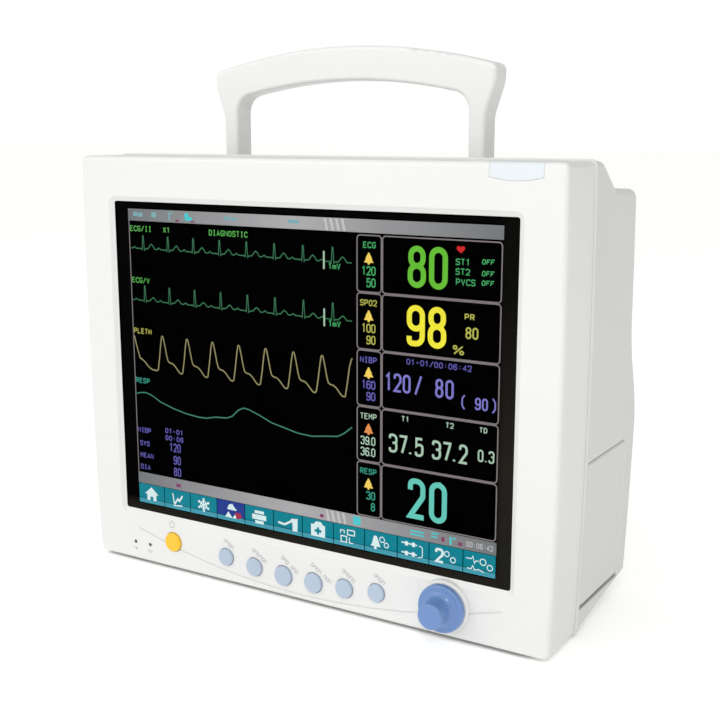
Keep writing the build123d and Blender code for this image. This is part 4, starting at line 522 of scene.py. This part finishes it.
# Glyphs in a box of 1 by 1, y up. A third number is a corner radius as a share of the width.
R = 0.5
ZERO = ("loop", (0, 0, R), (1, 0, R), (1, 1, R), (0, 1, R))
GLYPHS = {
    "0": [ZERO],
    "1": [("line", (0.12, 0.80), (0.55, 1), (0.55, 0))],
    "2": [("line", (0, 0.74), (0, 1, R), (1, 1, R), (1, 0.58, 0.4), (0, 0), (1.08, 0))],
    "3": [
        ("line", (0, 0.78), (0, 1, R), (1, 1, R), (1, 0.53, 0.35), (0.42, 0.53)),
        ("line", (0.42, 0.53), (1, 0.53, 0.35), (1, 0, R), (0, 0, R), (0, 0.22)),
    ],
    "4": [("line", (0.72, 0), (0.72, 1), (0, 0.28), (1, 0.28))],
    "5": [
        (
            "line",
            *((0.95, 1), (0.08, 1), (0.04, 0.54), (0.28, 0.64, 0.2)),
            *((1, 0.64, R), (1, 0, R), (0, 0, R), (0, 0.2)),
        )
    ],
    "6": [
        ("loop", (0, 0, R), (1, 0, R), (1, 0.60, R), (0, 0.60, R)),
        ("line", (0, 0.32), (0, 1, R), (1, 1, R), (1, 0.80)),
    ],
    "7": [("line", (0, 1), (1, 1), (0.9, 0.8, 0.2), (0.38, 0))],
    "8": [
        ("loop", (0.04, 0.53, R), (0.96, 0.53, R), (0.96, 1, R), (0.04, 1, R)),
        ("loop", (0, 0, R), (1, 0, R), (1, 0.53, R), (0, 0.53, R)),
    ],
    "9": [
        ("loop", (0, 0.42, R), (1, 0.42, R), (1, 1, R), (0, 1, R)),
        ("line", (1, 0.70), (1, 0, R), (0, 0, R), (0, 0.2)),
    ],
    "A": [("line", (0, 0), (0.5, 1), (1, 0)), ("line", (0.2, 0.34), (0.8, 0.34))],
    "B": [
        ("loop", (0, 0), (1, 0, 0.4), (1, 0.52, 0.4), (0, 0.52)),
        ("loop", (0, 0.52), (0.92, 0.52, 0.4), (0.92, 1, 0.4), (0, 1)),
    ],
    "C": [("line", (1, 0.76), (1, 1, R), (0, 1, R), (0, 0, R), (1, 0, R), (1, 0.24))],
    "D": [("loop", (0, 0), (0, 1), (1, 1, R), (1, 0, R))],
    "E": [("line", (1, 1), (0, 1), (0, 0), (1, 0)), ("line", (0, 0.52), (0.8, 0.52))],
    "F": [("line", (1, 1), (0, 1), (0, 0)), ("line", (0, 0.52), (0.8, 0.52))],
    "G": [("line", (1, 0.78), (1, 1, R), (0, 1, R), (0, 0, R), (1, 0, R), (1, 0.48), (0.5, 0.48))],
    "H": [("line", (0, 0), (0, 1)), ("line", (1, 0), (1, 1)), ("line", (0, 0.5), (1, 0.5))],
    "I": [("line", (0.5, 0), (0.5, 1)), ("line", (0.2, 1), (0.8, 1)), ("line", (0.2, 0), (0.8, 0))],
    "L": [("line", (0, 1), (0, 0), (1, 0))],
    "M": [("line", (0, 0), (0, 1), (0.5, 0.45), (1, 1), (1, 0))],
    "N": [("line", (0, 0), (0, 1), (1, 0), (1, 1))],
    "O": [ZERO],
    "P": [("line", (0, 0), (0, 1), (1, 1, 0.4), (1, 0.45, 0.4), (0, 0.45))],
    "R": [("line", (0, 0), (0, 1), (1, 1, 0.4), (1, 0.48, 0.4), (0, 0.48)), ("line", (0.5, 0.48), (1, 0))],
    "S": [
        (
            "line",
            *((1, 0.80), (1, 1, 0.45), (0, 1, 0.45), (0, 0.54, 0.45)),
            *((1, 0.50, 0.45), (1, 0, 0.45), (0, 0, 0.45), (0, 0.20)),
        )
    ],
    "T": [("line", (0, 1), (1, 1)), ("line", (0.5, 1), (0.5, 0))],
    "V": [("line", (0, 1), (0.5, 0), (1, 1))],
    "X": [("line", (0, 0), (1, 1)), ("line", (0, 1), (1, 0))],
    "Y": [("line", (0, 1), (0.5, 0.5), (1, 1)), ("line", (0.5, 0.5), (0.5, 0))],
    "m": [
        ("line", (0, 0), (0, 0.6), (0.5, 0.6, 0.2), (0.5, 0)),
        ("line", (0.5, 0.6), (1, 0.6, 0.2), (1, 0)),
    ],
    "/": [("line", (0, -0.05), (1, 1.08))],
    "-": [("line", (0.1, 0.5), (0.9, 0.5))],
    ":": [("line", (0.5, 0.22), (0.5, 0.36)), ("line", (0.5, 0.66), (0.5, 0.80))],
    ".": [("line", (0.45, 0.0), (0.45, 0.10))],
    "(": [("line", (0.8, 1.1), (0.3, 0.8, 0.8), (0.3, 0.2, 0.8), (0.8, -0.1))],
    ")": [("line", (0.2, 1.1), (0.7, 0.8, 0.8), (0.7, 0.2, 0.8), (0.2, -0.1))],
    "%": [
        ("line", (0.08, 0), (0.92, 1)),
        ("loop", (0, 0.62, 0.2), (0.34, 0.62, 0.2), (0.34, 1, 0.2), (0, 1, 0.2)),
        ("loop", (0.66, 0, 0.2), (1, 0, 0.2), (1, 0.38, 0.2), (0.66, 0.38, 0.2)),
    ],
}


def words(text, x, top, size, slant=0.0):
    """Polygons of a line of characters, with y down.

    The size is a character's outside width and height, the pitch and the width of the stroke.
    """
    width, height, pitch, stroke = size
    shapes = []
    wide, tall = width - stroke, height - stroke
    for index, letter in enumerate(text):
        left = x + index * pitch + stroke / 2
        for kind, *points in GLYPHS[letter]:
            placed = []
            for p in points:
                y = p[1] * tall
                spot = (left + p[0] * wide + slant * y, top + height - stroke / 2 - y)
                placed.append(spot + ((p[2] * wide,) if len(p) > 2 else ()))
            shapes += ribbon(rounded(placed, kind == "loop"), stroke, kind == "loop")
    return shapes


# Sizes of characters: width, height, pitch and stroke, in display units, and the last two in millimetres
LABEL = (7.8, 11, 9.4, 1.8)
BOLD_LABEL = (7.8, 11, 9.4, 1.9)
LIST_LABEL = (7.6, 10.5, 9, 1.7)
LIST_TIME = (7.6, 10.5, 9.6, 1.7)
LIST_VALUE = (8.6, 18, 10, 2.2)
LARGE = (35, 71, 40.6, 9.8)
SEGMENT = (7.8, 11, 9.2, 1.7)
PRESSURE = (15.6, 33, 18, 4.2)
DEGREES = (17.4, 34, 19.6, 4.4)
BRACKET = (12, 23, 12, 2.8)
SMALL_DEGREES = (10.6, 21.5, 11, 2.9)
POINT = (8, 34, 8, 4.4)
PLACE_LABEL = (7, 10, 8.4, 1.8)
PRINT = (2.0, 3.0, 2.6, 0.42)
TALL_PRINT = (2.0, 3.2, 2.6, 0.42)


def line(points, width, closed=False):
    """Polygons of one line through rounded points."""
    return ribbon(rounded(points, closed), width, closed)


def plate(name, shapes, place, material, body="case"):
    """One mesh of flat polygons, each put in the frame by place(x, y)."""
    mesh = bpy.data.meshes.new(name)
    bm = bmesh.new()
    for shape in shapes:
        corners = [bm.verts.new(place(p[0], p[1])) for p in shape]
        bm.faces.new(corners)
    bmesh.ops.triangulate(bm, faces=[f for f in bm.faces if len(f.verts) > 4])
    bmesh.ops.remove_doubles(bm, verts=bm.verts, dist=1e-7)
    bmesh.ops.recalc_face_normals(bm, faces=bm.faces)
    bm.to_mesh(mesh)
    bm.free()
    piece = bpy.data.objects.new(name, mesh)
    piece.data.materials.append(material)
    scene.collection.objects.link(piece)
    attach(piece, body)
    return piece


# ---------------------------------------------------------------- the display's picture

LCD_LOW, LCD_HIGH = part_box("lcd_panel")
MID = (LCD_LOW + LCD_HIGH) / 2
GLASS_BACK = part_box("display_glass")[1].y
PICTURE_LEFT = MID.x - PIXEL * ACROSS / 2
PICTURE_TOP = MID.z + PIXEL * DOWN / 2
LAYER = (LCD_LOW.y - GLASS_BACK) / 8

# Layers of the picture, from the panel forward
BASE, TRACE, FIGURE, TOP = 1, 2, 3, 4


def on_screen(level):
    """Puts display units, x to the right and y down, on a layer between the panel and the glass."""

    def place(x, y):
        """A point of the frame."""
        return Vector((PICTURE_LEFT + x * PIXEL, LCD_LOW.y - LAYER * level, PICTURE_TOP - y * PIXEL))

    return place


INK = {
    "green": rgb(104, 196, 52),
    "lime": rgb(92, 186, 84),
    "trace_green": rgb(58, 122, 84),
    "soft_green": rgb(70, 176, 104),
    "yellow": rgb(250, 240, 60),
    "olive": rgb(186, 186, 84),
    "trace_yellow": rgb(156, 150, 104),
    "violet": rgb(128, 124, 206),
    "dim_violet": rgb(104, 98, 186),
    "mint": rgb(176, 206, 184),
    "cyan": rgb(104, 206, 190),
    "trace_cyan": rgb(66, 136, 116),
    "deep_cyan": rgb(56, 160, 138),
    "grid": rgb(132, 124, 126),
    "bar_light": rgb(205, 203, 204),
    "white": rgb(226, 246, 246),
    "teal": rgb(0, 134, 152),
    "band": rgb(70, 160, 180),
    "navy": rgb(34, 60, 148),
    "red": rgb(214, 34, 34),
    "dull_red": rgb(140, 60, 110),
    "deep_red": rgb(168, 44, 78),
    "bell": rgb(250, 214, 96),
    "orange": rgb(236, 148, 82),
    "mark": rgb(80, 208, 214),
    "mark_dim": rgb(126, 180, 186),
}
LIT = {name: lit("lit_" + name, colour) for name, colour in INK.items()}
LIT["bar"] = lit("lit_bar", rgb(176, 174, 176), dim=0.92, ends=rgb(112, 116, 118))


def show(name, ink, shapes, level=FIGURE):
    """A lit figure of the display's picture."""
    return plate("screen_" + name, shapes, on_screen(level), LIT[ink])


ROWS = (28, 128, 228.5, 330, 431, 533)
LIMITS_LEFT, LIMITS_RIGHT, VALUES_RIGHT = 523.5, 574.5, 799
INSET, CORNER_R, BOX_LINE = 1.2, 6, 2.3
grid = []
for top, bottom in zip(ROWS, ROWS[1:]):
    for left, right in ((LIMITS_LEFT, LIMITS_RIGHT), (LIMITS_RIGHT, VALUES_RIGHT)):
        outline = box_shape(left + INSET, top + INSET, right - INSET, bottom - INSET)
        grid += line([(*corner, CORNER_R) for corner in outline], BOX_LINE, True)
grid.append(box_shape(0.4, 2, 2.6, 533))
show("boxes", "grid", grid, BASE)

# Status bar at the top, message bar and key cells at the bottom
show("bars", "bar", [box_shape(0, 2, 800, 25), box_shape(0, 534, 800, 557)], BASE)
slashes = []
for k in range(4):
    for top, bottom in ((3, 24), (535, 556)):
        x = 456 + 12 * k
        slashes.append([(x, top), (x + 5, top), (x + 10, bottom), (x + 5, bottom)])
show("slashes", "bar_light", slashes)
marks = [
    box_shape(14, 8, 24, 16),
    box_shape(26, 9, 37, 17),
    box_shape(60, 7, 72, 17),
    box_shape(103, 5, 107, 22),
    box_shape(104, 6, 114, 9),
    box_shape(236, 9, 250, 15),
    box_shape(252, 10, 266, 16),
    box_shape(380, 9, 404, 15),
]
show("status_marks", "mark_dim", marks)
bright = [
    disc(147, 11, 5.5),
    box_shape(143, 13, 160, 20),
    box_shape(516, 537, 532, 553),
    box_shape(634, 541, 662, 544),
    box_shape(634, 547, 662, 550),
    box_shape(676, 538, 690, 541),
    box_shape(676, 544, 688, 547),
    box_shape(712, 540, 716, 554),
    box_shape(718, 540, 724, 543),
]
show("message_marks", "mark", bright)
reds = [
    box_shape(100, 544, 112, 551),
    box_shape(444, 546, 452, 552),
    box_shape(696, 543, 702, 551),
    box_shape(728, 546, 736, 552),
    box_shape(120, 19, 128, 23),
    box_shape(156, 20, 166, 23),
]
show("red_marks", "dull_red", reds)
clock = words("00:06:42", 744, 541, (5.4, 10, 6.4, 1.3))
show("clock", "bar_light", clock)

CELLS = (0, 68, 135, 202, 270, 338, 404, 473, 540, 608, 672, 738, 800)
ALARM_CELL = 3
GAP = 0.8
teal, band = [], []
for index, (left, right) in enumerate(zip(CELLS, CELLS[1:])):
    if index != ALARM_CELL:
        teal.append(box_shape(left + GAP, 558, right - GAP, 588))
    band.append(box_shape(left + GAP, 589, right - GAP, 598))
show("cells", "teal", teal, BASE)
show("cell_bands", "band", band, BASE)
show("alarm_cell", "navy", [box_shape(202.8, 558, 269.2, 588)], BASE)

# Figures in the key cells. First a house.
white = [[(34, 563), (52, 578), (16, 578)], box_shape(22, 577, 30, 591)]
white += [box_shape(38, 577, 46, 591), box_shape(29, 574, 39, 583)]
# A curve over two axes
white += line([(90, 566), (94, 591), (114, 589)], 2.6)
white += line([(95, 587), (103, 576), (107, 580), (115, 568)], 3.6)
# A snowflake with dots at its tips
for turn in range(3):
    a = math.radians(60 * turn + 90)
    dx, dy = 14 * math.cos(a), 12 * math.sin(a)
    white += line([(169 - dx, 577 - dy), (169 + dx, 577 + dy)], 3.0)
white += line(disc(169, 577, 7.5), 2.4, True)
for turn in range(6):
    a = math.radians(60 * turn + 90)
    white.append(disc(169 + 13 * math.cos(a), 577 + 11.5 * math.sin(a), 2.8, 10))
# A fan of four slanted pieces
white += [[(240, 562), (248, 572), (227, 574), (232, 565)], [(222, 591), (230, 579), (240, 591)]]
white += [box_shape(229, 572, 250, 575), [(240, 591), (246, 583), (252, 591)]]
# A printer
white += [box_shape(294, 565, 316, 571), box_shape(288, 573, 321, 583), box_shape(295, 585, 315, 591)]
# A bent arm
white += line([(349, 579), (364, 581), (378, 573), (384, 567)], 4.2)
white.append([(378, 568), (394, 565), (393, 591), (382, 591), (382, 578)])
# A bag
white += [box_shape(424, 568, 455, 591), [(430, 568), (435, 562), (446, 562), (451, 568)]]
# Windows
white += line([(489, 574), (489, 568), (497, 568), (497, 574)], 1.8)
white += line([(490, 579), (502, 579), (502, 590), (490, 590)], 2.2, True)
white += line([(504, 566), (519, 566), (519, 575), (504, 575)], 2.2, True)
white += line([(508, 580), (508, 590), (516, 590)], 2.0)
# A bell and two rings
white += [[(560, 566), (566, 566), (571, 582), (574, 586), (553, 586), (556, 582)]]
white.append(disc(563, 588.5, 3, 10))
white += line(disc(577, 571, 5), 1.8, True) + line(disc(586, 580, 4.4), 1.8, True)
# Two sliders
for top in (567, 585):
    white += line([(617, top), (648, top + 1)], 2.6)
    white += [box_shape(624, top - 3, 630, top + 5), box_shape(638, top - 3, 644, top + 5)]
white += line([(652, 568), (659, 570, 3), (659, 588, 3), (650, 590)], 1.6)
# A number and two rings
white += words("2", 684, 564, (17, 27, 17, 4.6))
white += line(disc(707, 572, 4.6), 1.8, True) + line(disc(719, 581, 4.8), 1.8, True)
# Two waves and two rings
white += line([(744, 571), (754, 571), (757, 566), (760, 578), (763, 573), (768, 573)], 1.8)
white += line([(746, 589), (754, 589), (757, 583), (760, 590), (768, 588), (778, 591)], 1.8)
white += line(disc(776, 573, 5.6), 1.8, True) + line(disc(789, 581, 5.0), 1.8, True)
show("cell_figures", "white", white)
# The door of the house and the cross on the bag, cut out in the colour of the cell
cuts = [box_shape(31.5, 583, 36.5, 591), box_shape(437, 573, 442, 587), box_shape(432, 577.5, 447, 582.5)]
show("door_mark", "teal", cuts, TOP)
show("silence_mark", "deep_red", [[(246, 579), (260, 578), (263, 588), (250, 592)]], TOP)

# Waveforms
TRACE_LEFT, TRACE_RIGHT = 4, 514
FIRST_BEAT, BEAT = 35.5, 62.6
FIRST_PULSE, PULSE = 76.5, 62.4


def cardiogram(base, peak, wave):
    """One heartbeat after another along a base line."""
    points = [(TRACE_LEFT, base)]
    for k in range(8):
        x = FIRST_BEAT + BEAT * k
        beat = [(-27, 0), (-22, -3.2), (-17, 0), (-4, 0), (-2, 2)]
        beat += [(0, -peak), (1.4, -peak), (3.4, 3), (6, 0), (13, -0.4)]
        beat += [(18, -wave * 0.7), (21.5, -wave), (25, -wave * 0.75), (30, 0)]
        points += [(x + dx, base + dy) for dx, dy in beat]
    points = [p for p in points if TRACE_LEFT <= p[0] <= TRACE_RIGHT]
    return points + [(TRACE_RIGHT, base)]


for number, (base, peak, wave) in enumerate(((78.5, 25, 9.5), (180.5, 29, 7.5)), 1):
    show(f"trace_{number}", "trace_green", line(cardiogram(base, peak, wave), 1.9), TRACE)
    show(f"scale_bar_{number}", "mint", [box_shape(454.6, base - 18, 458, base + 14)])
    show(f"scale_{number}", "soft_green", words("1mV", 465, base + 2, (8, 11.5, 9, 1.9)))

# One beat of the pulse wave, then the parts of the line before the first beat and after the last
pulse = [(-16, 318), (-13, 316, 1), (-9, 294), (-4.4, 263), (-1.8, 250, 2)]
pulse += [(0, 247, 2), (2.2, 250, 2), (6, 266), (10, 286), (13, 296, 2), (17, 299, 2)]
pulse += [(24, 300, 2), (30, 304), (38, 313), (42, 317, 2)]
pulse_line = [(4, 253), (10, 276), (17, 297), (24, 300, 2), (30, 304), (38, 312), (46, 317, 2), (56, 318)]
for k in range(7):
    pulse_line += [(FIRST_PULSE + PULSE * k + p[0],) + tuple(p[1:]) for p in pulse]
pulse_line += [(498, 318), (500, 317), (504, 295), (509, 262), (513, 249), (515, 247)]
show("trace_3", "trace_yellow", line(pulse_line, 2.4), TRACE)

swell = [(4, 371), (14, 368, 6), (28, 366.6, 9), (44, 370, 9), (66, 381, 9), (100, 390.5, 9)]
swell += [(134, 397, 9), (164, 399.6, 9), (182, 399, 9), (204, 394, 9), (232, 392, 9)]
swell += [(245, 387, 9), (260, 373, 9), (272, 367.4, 8), (284, 368.6, 9), (308, 376, 9)]
swell += [(336, 387, 9), (368, 393.4, 9), (396, 399, 9), (428, 400.6, 9), (452, 397, 9)]
swell += [(484, 393, 9), (498, 385, 9), (514, 372)]
show("trace_4", "trace_cyan", line(swell, 2.2), TRACE)

# Names of the traces, and the list of cuff readings
heading = words("ECG/II", 4, 34.5, LABEL) + words("X1", 88, 34.5, LABEL)
heading += words("DIAGNOSTIC", 200, 34.5, (7.6, 11, 9.15, 1.8))
show("name_1", "lime", heading)
show("name_2", "lime", words("ECG/V", 4, 135.5, LABEL))
show("name_3", "olive", words("PLETH", 4, 236.5, BOLD_LABEL))
show("name_4", "deep_cyan", words("RESP", 4, 337, BOLD_LABEL))
cuff = words("NIBP", 4, 439.5, LIST_LABEL) + words("SYS", 8, 467, LIST_LABEL)
cuff += words("MEAN", 8, 492, LIST_LABEL) + words("DIA", 8, 516.5, LIST_LABEL)
cuff += words("01-01", 76, 432.5, LIST_TIME) + words("00:06", 76, 447, LIST_TIME)
cuff += words("120", 86, 461.5, LIST_VALUE) + words("90", 95, 487, LIST_VALUE)
cuff += words("80", 95, 511, LIST_VALUE)
show("cuff_list", "dim_violet", cuff)

# Limits: a name, a bell and two numbers in each box
LIMITS = (
    ("ECG", 537, "soft_green", "120", "50"),
    ("SPO2", 531, "olive", "100", "90"),
    ("NIBP", 531, "dim_violet", "160", "90"),
    ("TEMP", 531, "mint", "39.0", "36.0"),
    ("RESP", 531, "deep_cyan", "30", "8"),
)
bells, orange_bell = [], []
for index, (name, x, ink, upper, lower) in enumerate(LIMITS):
    top = ROWS[index] + 1
    show(f"limit_name_{index + 1}", ink, words(name, x, top + 11, (7.6, 11, 8.8, 1.8)))
    figures = []
    for text, drop in ((upper, 53), (lower, 73.5)):
        if "." in text:
            figures += words(text[:2], 532, top + drop, (8.6, 16, 9.6, 2.2))
            figures += words(".", 549, top + drop, (5, 16, 5, 2.0))
            figures += words(text[-1], 554, top + drop, (8.6, 16, 9, 2.2))
        else:
            figures += words(text, 563 - 9.6 * len(text), top + drop, (8.8, 16, 9.6, 2.2))
    show(f"limit_{index + 1}", ink, figures)
    cy = top + 39.5
    bell = [
        [(546.5, cy - 7.5), (550.5, cy - 7.5), (554, cy - 2), (556, cy + 5), (541, cy + 5), (543, cy - 2)],
        box_shape(539.4, cy + 5, 557.6, cy + 7.4),
        disc(548.5, cy + 8.2, 2.6, 10),
        disc(548.5, cy - 8, 2.0, 10),
    ]
    if name == "TEMP":
        orange_bell += bell
    else:
        bells += bell
show("bells", "bell", bells)
show("bell_off", "orange", orange_bell)

# Values
show("value_1", "green", words("80", 625, 42, LARGE))
heart = [(724, 50.5), (716.6, 44), (716.4, 40.6), (719, 38.6), (722.4, 39)]
heart += [(724, 41.2), (725.6, 39), (729, 38.6), (731.6, 40.6), (731.4, 44)]
show("heart", "red", [heart])
segments = words("ST1", 715, 59, SEGMENT) + words("ST2", 715, 75, SEGMENT)
segments += words("PVCS", 716, 92, SEGMENT)
for top in (57.5, 76.5, 92):
    segments += words("OFF", 762, top, (6.6, 9, 7.8, 1.6), 0.2)
show("segments", "soft_green", segments)
show("value_2", "yellow", words("98", 624, 142, LARGE))
units = words("PR", 733, 149, (8.4, 10.5, 10, 2.0)) + words("%", 712, 203.5, (21, 16, 20, 2.6))
show("value_2_small", "olive", units)
show("pulse_rate", "olive", words("80", 735, 171, (11, 20, 12.6, 2.9)))
show("cuff_time", "dim_violet", words("01-01/00:06:42", 624, 235.5, (7.4, 10.5, 8.95, 1.6)))
reading = words("120", 581, 264, PRESSURE) + words("/", 640, 264, (15, 33, 15, 4.0))
reading += words("80", 680, 264, (15.6, 33, 19.6, 4.2)) + words("90", 755, 288, (10.8, 21, 12.8, 3.0))
reading += words("(", 727, 287, BRACKET) + words(")", 784, 287, BRACKET)
show("value_3", "violet", reading)
degrees = words("37", 590, 372, DEGREES) + words(".", 629, 372, POINT)
degrees += words("5", 642, 372, (17, 34, 17, 4.4)) + words("37", 675.5, 372, DEGREES)
degrees += words(".", 714, 372, POINT) + words("2", 727, 372, (16.4, 34, 16, 4.4))
degrees += words("0", 762, 376, SMALL_DEGREES) + words(".", 774.6, 376, (5, 21.5, 5, 2.9))
degrees += words("3", 782, 376, SMALL_DEGREES)
show("value_4", "mint", degrees)
labels = words("T1", 615, 337.5, PLACE_LABEL) + words("T2", 701, 337.5, PLACE_LABEL)
labels += words("TD", 764, 337.5, (6.6, 9.6, 8, 1.8))
show("value_4_names", "mint", labels)
show("value_5", "cyan", words("20", 629, 446, (34.6, 74, 42, 9.8)))

# ---------------------------------------------------------------- printing on the bezel

# The foremost part of the bezel is the boss round the knob, which stands proud of the face.
BOSS_PROUD = 2.5 * MM
FACE_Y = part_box("front_bezel")[0].y + BOSS_PROUD
PRINT_LIFT = 0.03 * MM


def on_face(x, z):
    """Millimetres of the frame, on the face of the bezel."""
    return Vector((x * MM, FACE_Y - PRINT_LIFT, z * MM))


grey_ink = moulded("grey_ink", rgb(172, 172, 172), 0.5, 0.0004, 0.000004, 0.12)
dark_ink = moulded("dark_ink", rgb(120, 120, 120), 0.5, 0.0004, 0.000004, 0.12)

# A word beside each key, as a slanted row of small plain marks in place of its letters
KEY_MARKS = ("xxxx", "xxxxxx", "xxx xxx", "xxxx xxx", "xxxxx", "xxxx")
TILT = math.radians(-35)
MARK_PITCH, MARK_WIDTH, MARK_HEIGHT, MARK_STROKE = 2.0, 1.35, 1.9, 0.42
MARKS_LEFT, MARKS_ABOVE = 1.6, 3.4
for number, marks in enumerate(KEY_MARKS, 1):
    low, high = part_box(f"key_{number}")
    start = Vector(((low.x + high.x) / 2 / MM - MARKS_LEFT, high.z / MM + MARKS_ABOVE))
    along = Vector((math.cos(TILT), math.sin(TILT)))
    up = Vector((-along.y, along.x))
    shapes = []
    for index, mark in enumerate(marks):
        if mark == "x":
            corner = start + along * index * MARK_PITCH
            figure = [corner, corner + up * MARK_HEIGHT, corner + up * MARK_HEIGHT + along * MARK_WIDTH]
            shapes += ribbon(figure + [corner + along * MARK_WIDTH], MARK_STROKE, index % 2 == 0)
    plate(f"key_mark_{number}", shapes, on_face, grey_ink)

# The power mark: an open ring with a stroke through its gap
RING_R, RING_STROKE = 2.0, 0.5
low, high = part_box("power_button")
px = (low.x + high.x) / 2 / MM - 1.0
pz = high.z / MM + 4.0
turns = [math.radians(a) for a in range(30, 331, 15)]
ring = [Vector((px + RING_R * math.sin(a), pz + RING_R * math.cos(a))) for a in turns]
power_shapes = ribbon(ring, RING_STROKE) + line([(px, pz + 0.4), (px, pz + 2.8)], RING_STROKE)
plate("power_mark", power_shapes, on_face, grey_ink)

# Under the two lights: a plug on the left and a battery on the right
LIGHT_INSET, MARKS_BELOW = 1.7, 2.6
low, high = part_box("status_lights")
z = low.z / MM - MARKS_BELOW
x = low.x / MM + LIGHT_INSET
plug = line([(x - 1.6, z), (x - 0.4, z)], 0.35) + [box_shape(x - 0.4, z - 0.7, x + 0.5, z + 0.7)]
for prong in (z + 0.35, z - 0.35):
    plug += line([(x + 0.5, prong), (x + 1.4, prong)], 0.3)
plate("status_mark_1", plug, on_face, grey_ink)
x = high.x / MM - LIGHT_INSET
battery = line(box_shape(x - 1.6, z - 0.6, x + 1.2, z + 0.6), 0.3, True)
battery += [box_shape(x + 1.4, z - 0.3, x + 1.8, z + 0.3)]
plate("status_mark_2", battery, on_face, grey_ink)

# ---------------------------------------------------------------- printing on the sides and back

plate_low, plate_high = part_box("sensor_panel")
SENSOR_MID_Y = (plate_low.y + plate_high.y) / 2


def on_sensor_panel(x, y):
    """Millimetres from the middle of the panel, x to the right as seen from the left side, y down."""
    return Vector((plate_low.x - PRINT_LIFT, SENSOR_MID_Y - x * MM, plate_high.z - y * MM))


def drop_of(node):
    """How far below the top of the sensor panel the middle of a socket is, in millimetres."""
    low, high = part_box(node)
    return (plate_high.z - (low.z + high.z) / 2) / MM


RULE_END, RULE_LINE = 20.5, 0.35
labels = []
for node, text in (("ecg_socket", "ECG"), ("spo2_socket", "SPO2"), ("nibp_fitting", "NIBP")):
    labels += words(text, -22, drop_of(node) - 1.6, TALL_PRINT)
temps = drop_of("temp_sockets")
for text, x in (("T1", -12.3), ("T2", 7.7)):
    labels += words(text, x, temps - 10.4, PRINT)
for one, two in (("ecg_socket", "spo2_socket"), ("temp_sockets", "nibp_fitting")):
    drop = (drop_of(one) + drop_of(two)) / 2
    labels += line([(-RULE_END, drop), (RULE_END, drop)], RULE_LINE)
labels += line([(-RULE_END, temps - 11.6), (RULE_END, temps - 11.6)], RULE_LINE)
plate("sensor_labels", labels, on_sensor_panel, dark_ink)
ecg_drop = drop_of("ecg_socket")
beat = [(13, 0), (15, 0), (15.8, -1.4), (16.8, 2.2), (17.8, -3.0), (18.8, 0.8), (19.4, 0), (21.5, 0)]
marks = line([(x, ecg_drop + y) for x, y in beat], 0.45)
plate("sensor_marks", marks, on_sensor_panel, dark_ink)

panel_low, panel_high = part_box("rear_panel")
housing = frame["nodes"]["rear_housing"]

# Where a ray starts that looks for the back of the housing, and how far the rating plate lies off it
BEHIND = 0.2
PLATE_LIFT = 0.04 * MM


def on_rear_panel(x, z):
    """Millimetres of the frame, on the steel plate of the rear connectors."""
    return Vector((x * MM, panel_high.y + PRINT_LIFT, z * MM))


def on_back(x, z):
    """Millimetres of the frame, on the back of the housing, wherever its surface lies."""
    found = housing.ray_cast(Vector((x * MM, BEHIND, z * MM)), Vector((0, -1, 0)))
    spot, normal = found[1:3]
    return spot + normal * PLATE_LIFT


def centre_x(node):
    """The middle of a node from left to right, in millimetres."""
    low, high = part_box(node)
    return (low.x + high.x) / 2 / MM


# Under each rear connector: a wave, a triangle on a stem, three joined boxes and a screen on a foot
mark_z = panel_low.z / MM + 5.0
MARK_LINE, THIN_LINE = 0.5, 0.45
x = centre_x("mains_inlet")
wave = [(x - 3, mark_z), (x - 1.5, mark_z + 1.6, 1.2), (x, mark_z), (x + 1.5, mark_z - 1.6, 1.2)]
rear_marks = line(wave + [(x + 3, mark_z)], MARK_LINE)
x = centre_x("equipotential_post")
rear_marks += line([(x - 3, mark_z + 1.6), (x + 3, mark_z + 1.6), (x, mark_z - 2.2)], MARK_LINE, True)
rear_marks += line([(x, mark_z + 1.6), (x, mark_z + 3.4)], MARK_LINE)
x = centre_x("lan_port")
rear_marks += line(box_shape(x - 1.2, mark_z + 0.6, x + 1.2, mark_z + 2.4), THIN_LINE, True)
for end in (x - 2.6, x + 2.6):
    branch = [(x, mark_z + 0.6), (x, mark_z - 0.6), (end, mark_z - 0.6), (end, mark_z - 1.6)]
    rear_marks += line(branch, THIN_LINE)
    leaf = [(end - 1.1, mark_z - 1.6), (end + 1.1, mark_z - 1.6)]
    leaf += [(end + 1.1, mark_z - 3.2), (end - 1.1, mark_z - 3.2)]
    rear_marks += line(leaf, THIN_LINE, True)
x = centre_x("video_port")
rear_marks += line(box_shape(x - 3.4, mark_z - 1.6, x + 3.4, mark_z + 2.6), MARK_LINE, True)
rear_marks += line([(x - 1.8, mark_z - 2.8), (x + 1.8, mark_z - 2.8)], MARK_LINE)
plate("rear_marks", rear_marks, on_rear_panel, dark_ink)

# A blank rating plate between the vents, with ruled lines in place of text
rating_steel = metal("rating_foil", (0.78, 0.78, 0.79, 1), 0.30, (1, 1, 14), 0.0008)
RATING_LEFT, RATING_LOW = -27, 186
CELL_WIDE, CELL_TALL = 4.5, 4
cells = []
for column in range(12):
    for row in range(8):
        left, low_edge = RATING_LEFT + CELL_WIDE * column, RATING_LOW + CELL_TALL * row
        cells.append(box_shape(left, low_edge, left + CELL_WIDE, low_edge + CELL_TALL))
plate("rating_plate", cells, on_back, rating_steel)


def above_plate(x, z):
    """Millimetres of the frame, just off the rating plate."""
    return on_back(x, z) + Vector((0, PRINT_LIFT, 0))


rules = line(box_shape(-25.5, 187.5, 25.5, 216.5), 0.4, True)
for z, right in ((211, 4), (206, 18), (201, 12), (196, 20), (191, 8)):
    rules.append(box_shape(-22, z, right, z + 0.7))
plate("rating_lines", rules, above_plate, dark_ink)

# ---------------------------------------------------------------- end

low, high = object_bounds()
